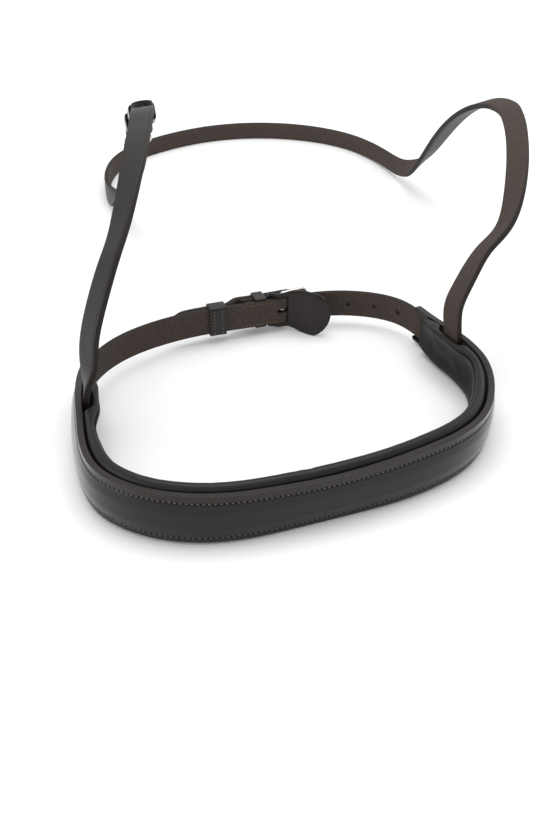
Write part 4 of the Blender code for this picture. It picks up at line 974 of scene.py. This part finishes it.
def keeper(name, node, b, q, low, high, wide, open_side, body):
    """A leather loop: a strip bent round the straps, its rims rounded."""
    wall, corner = KEEPER_WALL / 2, KEEPER_CORNER
    half, rim = b.width / 2 + SIDE_ROOM + wall, wall - 0.1
    arcs = []
    for sign_w, edge, start in ((1, high, 0), (-1, high, 90), (-1, low, 180), (1, low, 270)):
        centre = edge + wall - corner if edge == high else edge - wall + corner
        arcs.append(corner_arc(sign_w * (half - corner), centre, corner, start))
    if open_side:
        path = np.vstack([[(half, low)], *arcs[:2], [(-half, low)]])
    else:
        path = np.vstack([*arcs, arcs[0][:1]])
    gone = gone_along(path)
    even = np.linspace(0, gone[-1], 90 if open_side else 89, endpoint=open_side)
    path = columns(*(np.interp(even, gone, side) for side in path.T))
    run = run_of(path, closed=not open_side)
    out = columns(run[:, 1], -run[:, 0])
    across, round_w, up, round_up = strap_section(7)
    along_strap = across * (wide / 2 - rim) + round_w * rim
    h = up * (wall - rim) + round_up * rim
    w = path[:, :1] + h * out[:, :1]
    n = path[:, 1:] + h * out[:, 1:]
    place = columns(even[:, None], along_strap, round_up)
    piece = finish_mesh(name, b.route.at(b.s(q) + along_strap, w, n),
                        ring_faces(*w.shape, not open_side), place, body, KEEPER)
    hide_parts(node)


def sewn_rows():
    """Stitches on the chape's flesh side and in two columns on the chin's runner."""
    q, w = -np.arange(3.6, 25, 2.1), np.arange(-6.6, 6.7, 2.2)
    rows = [stitch_row(LOOP, CHIN.s(q), side, 0.05, out=-1) for side in (-6.3, 6.3)]
    stitches("chape_thread", rows, 1.2, 0.22, "noseband", CHAPE_THREAD, slant=0.2)
    rows = [stitch_row(LOOP, CHIN.s(-CHIN_RUNNER) + step, w, -1.7, out=-1)
            for step in (-2.3, 2.3)]
    stitches("runner_thread", rows, 1.1, 0.3, "chin_runner", THREAD)


def keepers():
    for kind, body, b, fixed, runner in (
            ("chin", "noseband", CHIN, 13.3, CHIN_RUNNER),
            ("head", "head_strap", BUCKLES["head"], 13, 40)):
        keeper(kind + "_fixed_loop", kind + "_fixed_keeper", b, -fixed, b.thick / 2,
               b.over + b.thick + SIDE_ROOM, FIXED_WIDE, True, body)
        keeper(kind + "_runner_loop", kind + "_runner_keeper", b, -runner, -0.6,
               2 * b.thick + GAP + SIDE_ROOM, RUNNER_WIDE, False, kind + "_runner")
    sewn_rows()


# Head strap


def end_half(u):
    """Half width of the head strap, rounded at its sewn ends."""
    share = np.clip(u / 3, 0, 1)
    return HEAD_WIDTH / 2 * np.sqrt(np.maximum(0.12, 1 - (1 - share) ** 2))


def head_strap():
    """Both parts of the head strap, from the pockets to the buckle and over it."""
    b = BUCKLES["head"]
    u = np.arange(0, HEAD_BAR - 3.3 * b.fold, STRAP_STEP)
    level = HEAD_THICK / 2 * ease((u - SLOT) / 24)
    fold = on_route(b, fold_track(b))
    half = np.concatenate([end_half(u), np.full(len(fold), HEAD_WIDTH / 2)])
    piece = strap("cheek_strap_leather", HEAD, np.vstack([columns(u, level), fold]),
                  half, HEAD_THICK, 0.9, "head_strap", STRAP)
    chape_slot(b, piece)
    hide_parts("cheek_strap")
    q, over = overlap(b)
    u = np.arange(HEAD_BAR + b.reach + b.wire + 1, HEAD.length, STRAP_STEP)
    level = HEAD_THICK / 2 * ease((HEAD.length - SLOT - u) / 24)
    half = np.concatenate([tip_half(q + b.tip_at, HEAD_WIDTH)[::-1],
                           end_half(HEAD.length - u)])
    piece = strap("poll_strap_leather", HEAD, np.vstack([over[::-1], columns(u, level)]),
                  half, HEAD_THICK, 0.9, "head_strap", STRAP)
    strap_holes(b, piece, 6, 2)
    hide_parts("poll_strap")


def inner_layers():
    """The filler and the foam stay as they are, with their own finishes."""
    flesh = strap_leather("filler_leather")
    for node, finish in (("raised_filler", flesh), ("lining_foam", FOAM)):
        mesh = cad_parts[node].data
        mesh.materials.clear()
        mesh.materials.append(finish)


# Table, light and camera


def table_top():
    """The white table, just under the object."""
    side, level = 3000, -0.02
    corners = [(-side, -side, level), (side, -side, level), (side, side, level),
               (-side, side, level)]
    f = Finish("white_table", 0.6)
    tint = f.noise(f.where(), 300.0, 2.0)
    f.set(Base_Color=f.colour(tint, (0.86, 0.86, 0.865), (0.90, 0.90, 0.90)))
    floor = finish_mesh("table_top", corners, [(0, 1, 2, 3)], None, None, f.material)


def aim(name, data, place, target):
    """An object that looks from a place at a target, both in metres."""
    thing = bpy.data.objects.new(name, data)
    place, target = Vector(place), Vector(target)
    thing.location = place
    thing.rotation_euler = (target - place).to_track_quat("-Z", "Y").to_euler()
    bpy.context.scene.collection.objects.link(thing)
    return thing


def lamp(name, place, size, watts):
    light = bpy.data.lights.new(name, "AREA")
    light.shape, light.size, light.size_y = "RECTANGLE", size[0], size[1]
    light.energy = watts
    aim(name, light, place, (0, 0.1, 0))


def light_and_camera():
    """A soft white surround, three lamps, and the photograph's point of view."""
    world = bpy.data.worlds.new("soft_white")
    world.use_nodes = True
    shader = world.node_tree.nodes["Background"]
    shader.inputs["Color"].default_value = (1.0, 1.0, 1.0, 1.0)
    shader.inputs["Strength"].default_value = 0.85
    bpy.context.scene.world = world
    bpy.context.scene.view_settings.view_transform = "Standard"
    lamp("overhead", (0.1, 0.3, 1.3), (1.2, 0.8), 10)
    lamp("right_soft", (1.1, 0.4, 0.8), (0.9, 0.8), 1.5)
    lamp("left_soft", (-1.2, 0.0, 0.4), (0.9, 0.8), 4)
    camera = bpy.data.cameras.new("camera")
    camera.lens, camera.sensor_width = 46.73, 36.0
    bpy.context.scene.camera = aim("camera", camera, (-0.11961, -0.35798, 0.320),
                                   (0.00249, 0.08242, 0.0))


light_and_camera()
table_top()
front_band()
band_thread()
backing()
padded_lining()
buckle_strap()
billet_strap()
buckle_guard()
for kind, buckle in BUCKLES.items():
    buckle_metal(kind, buckle)
keepers()
head_strap()
inner_layers()
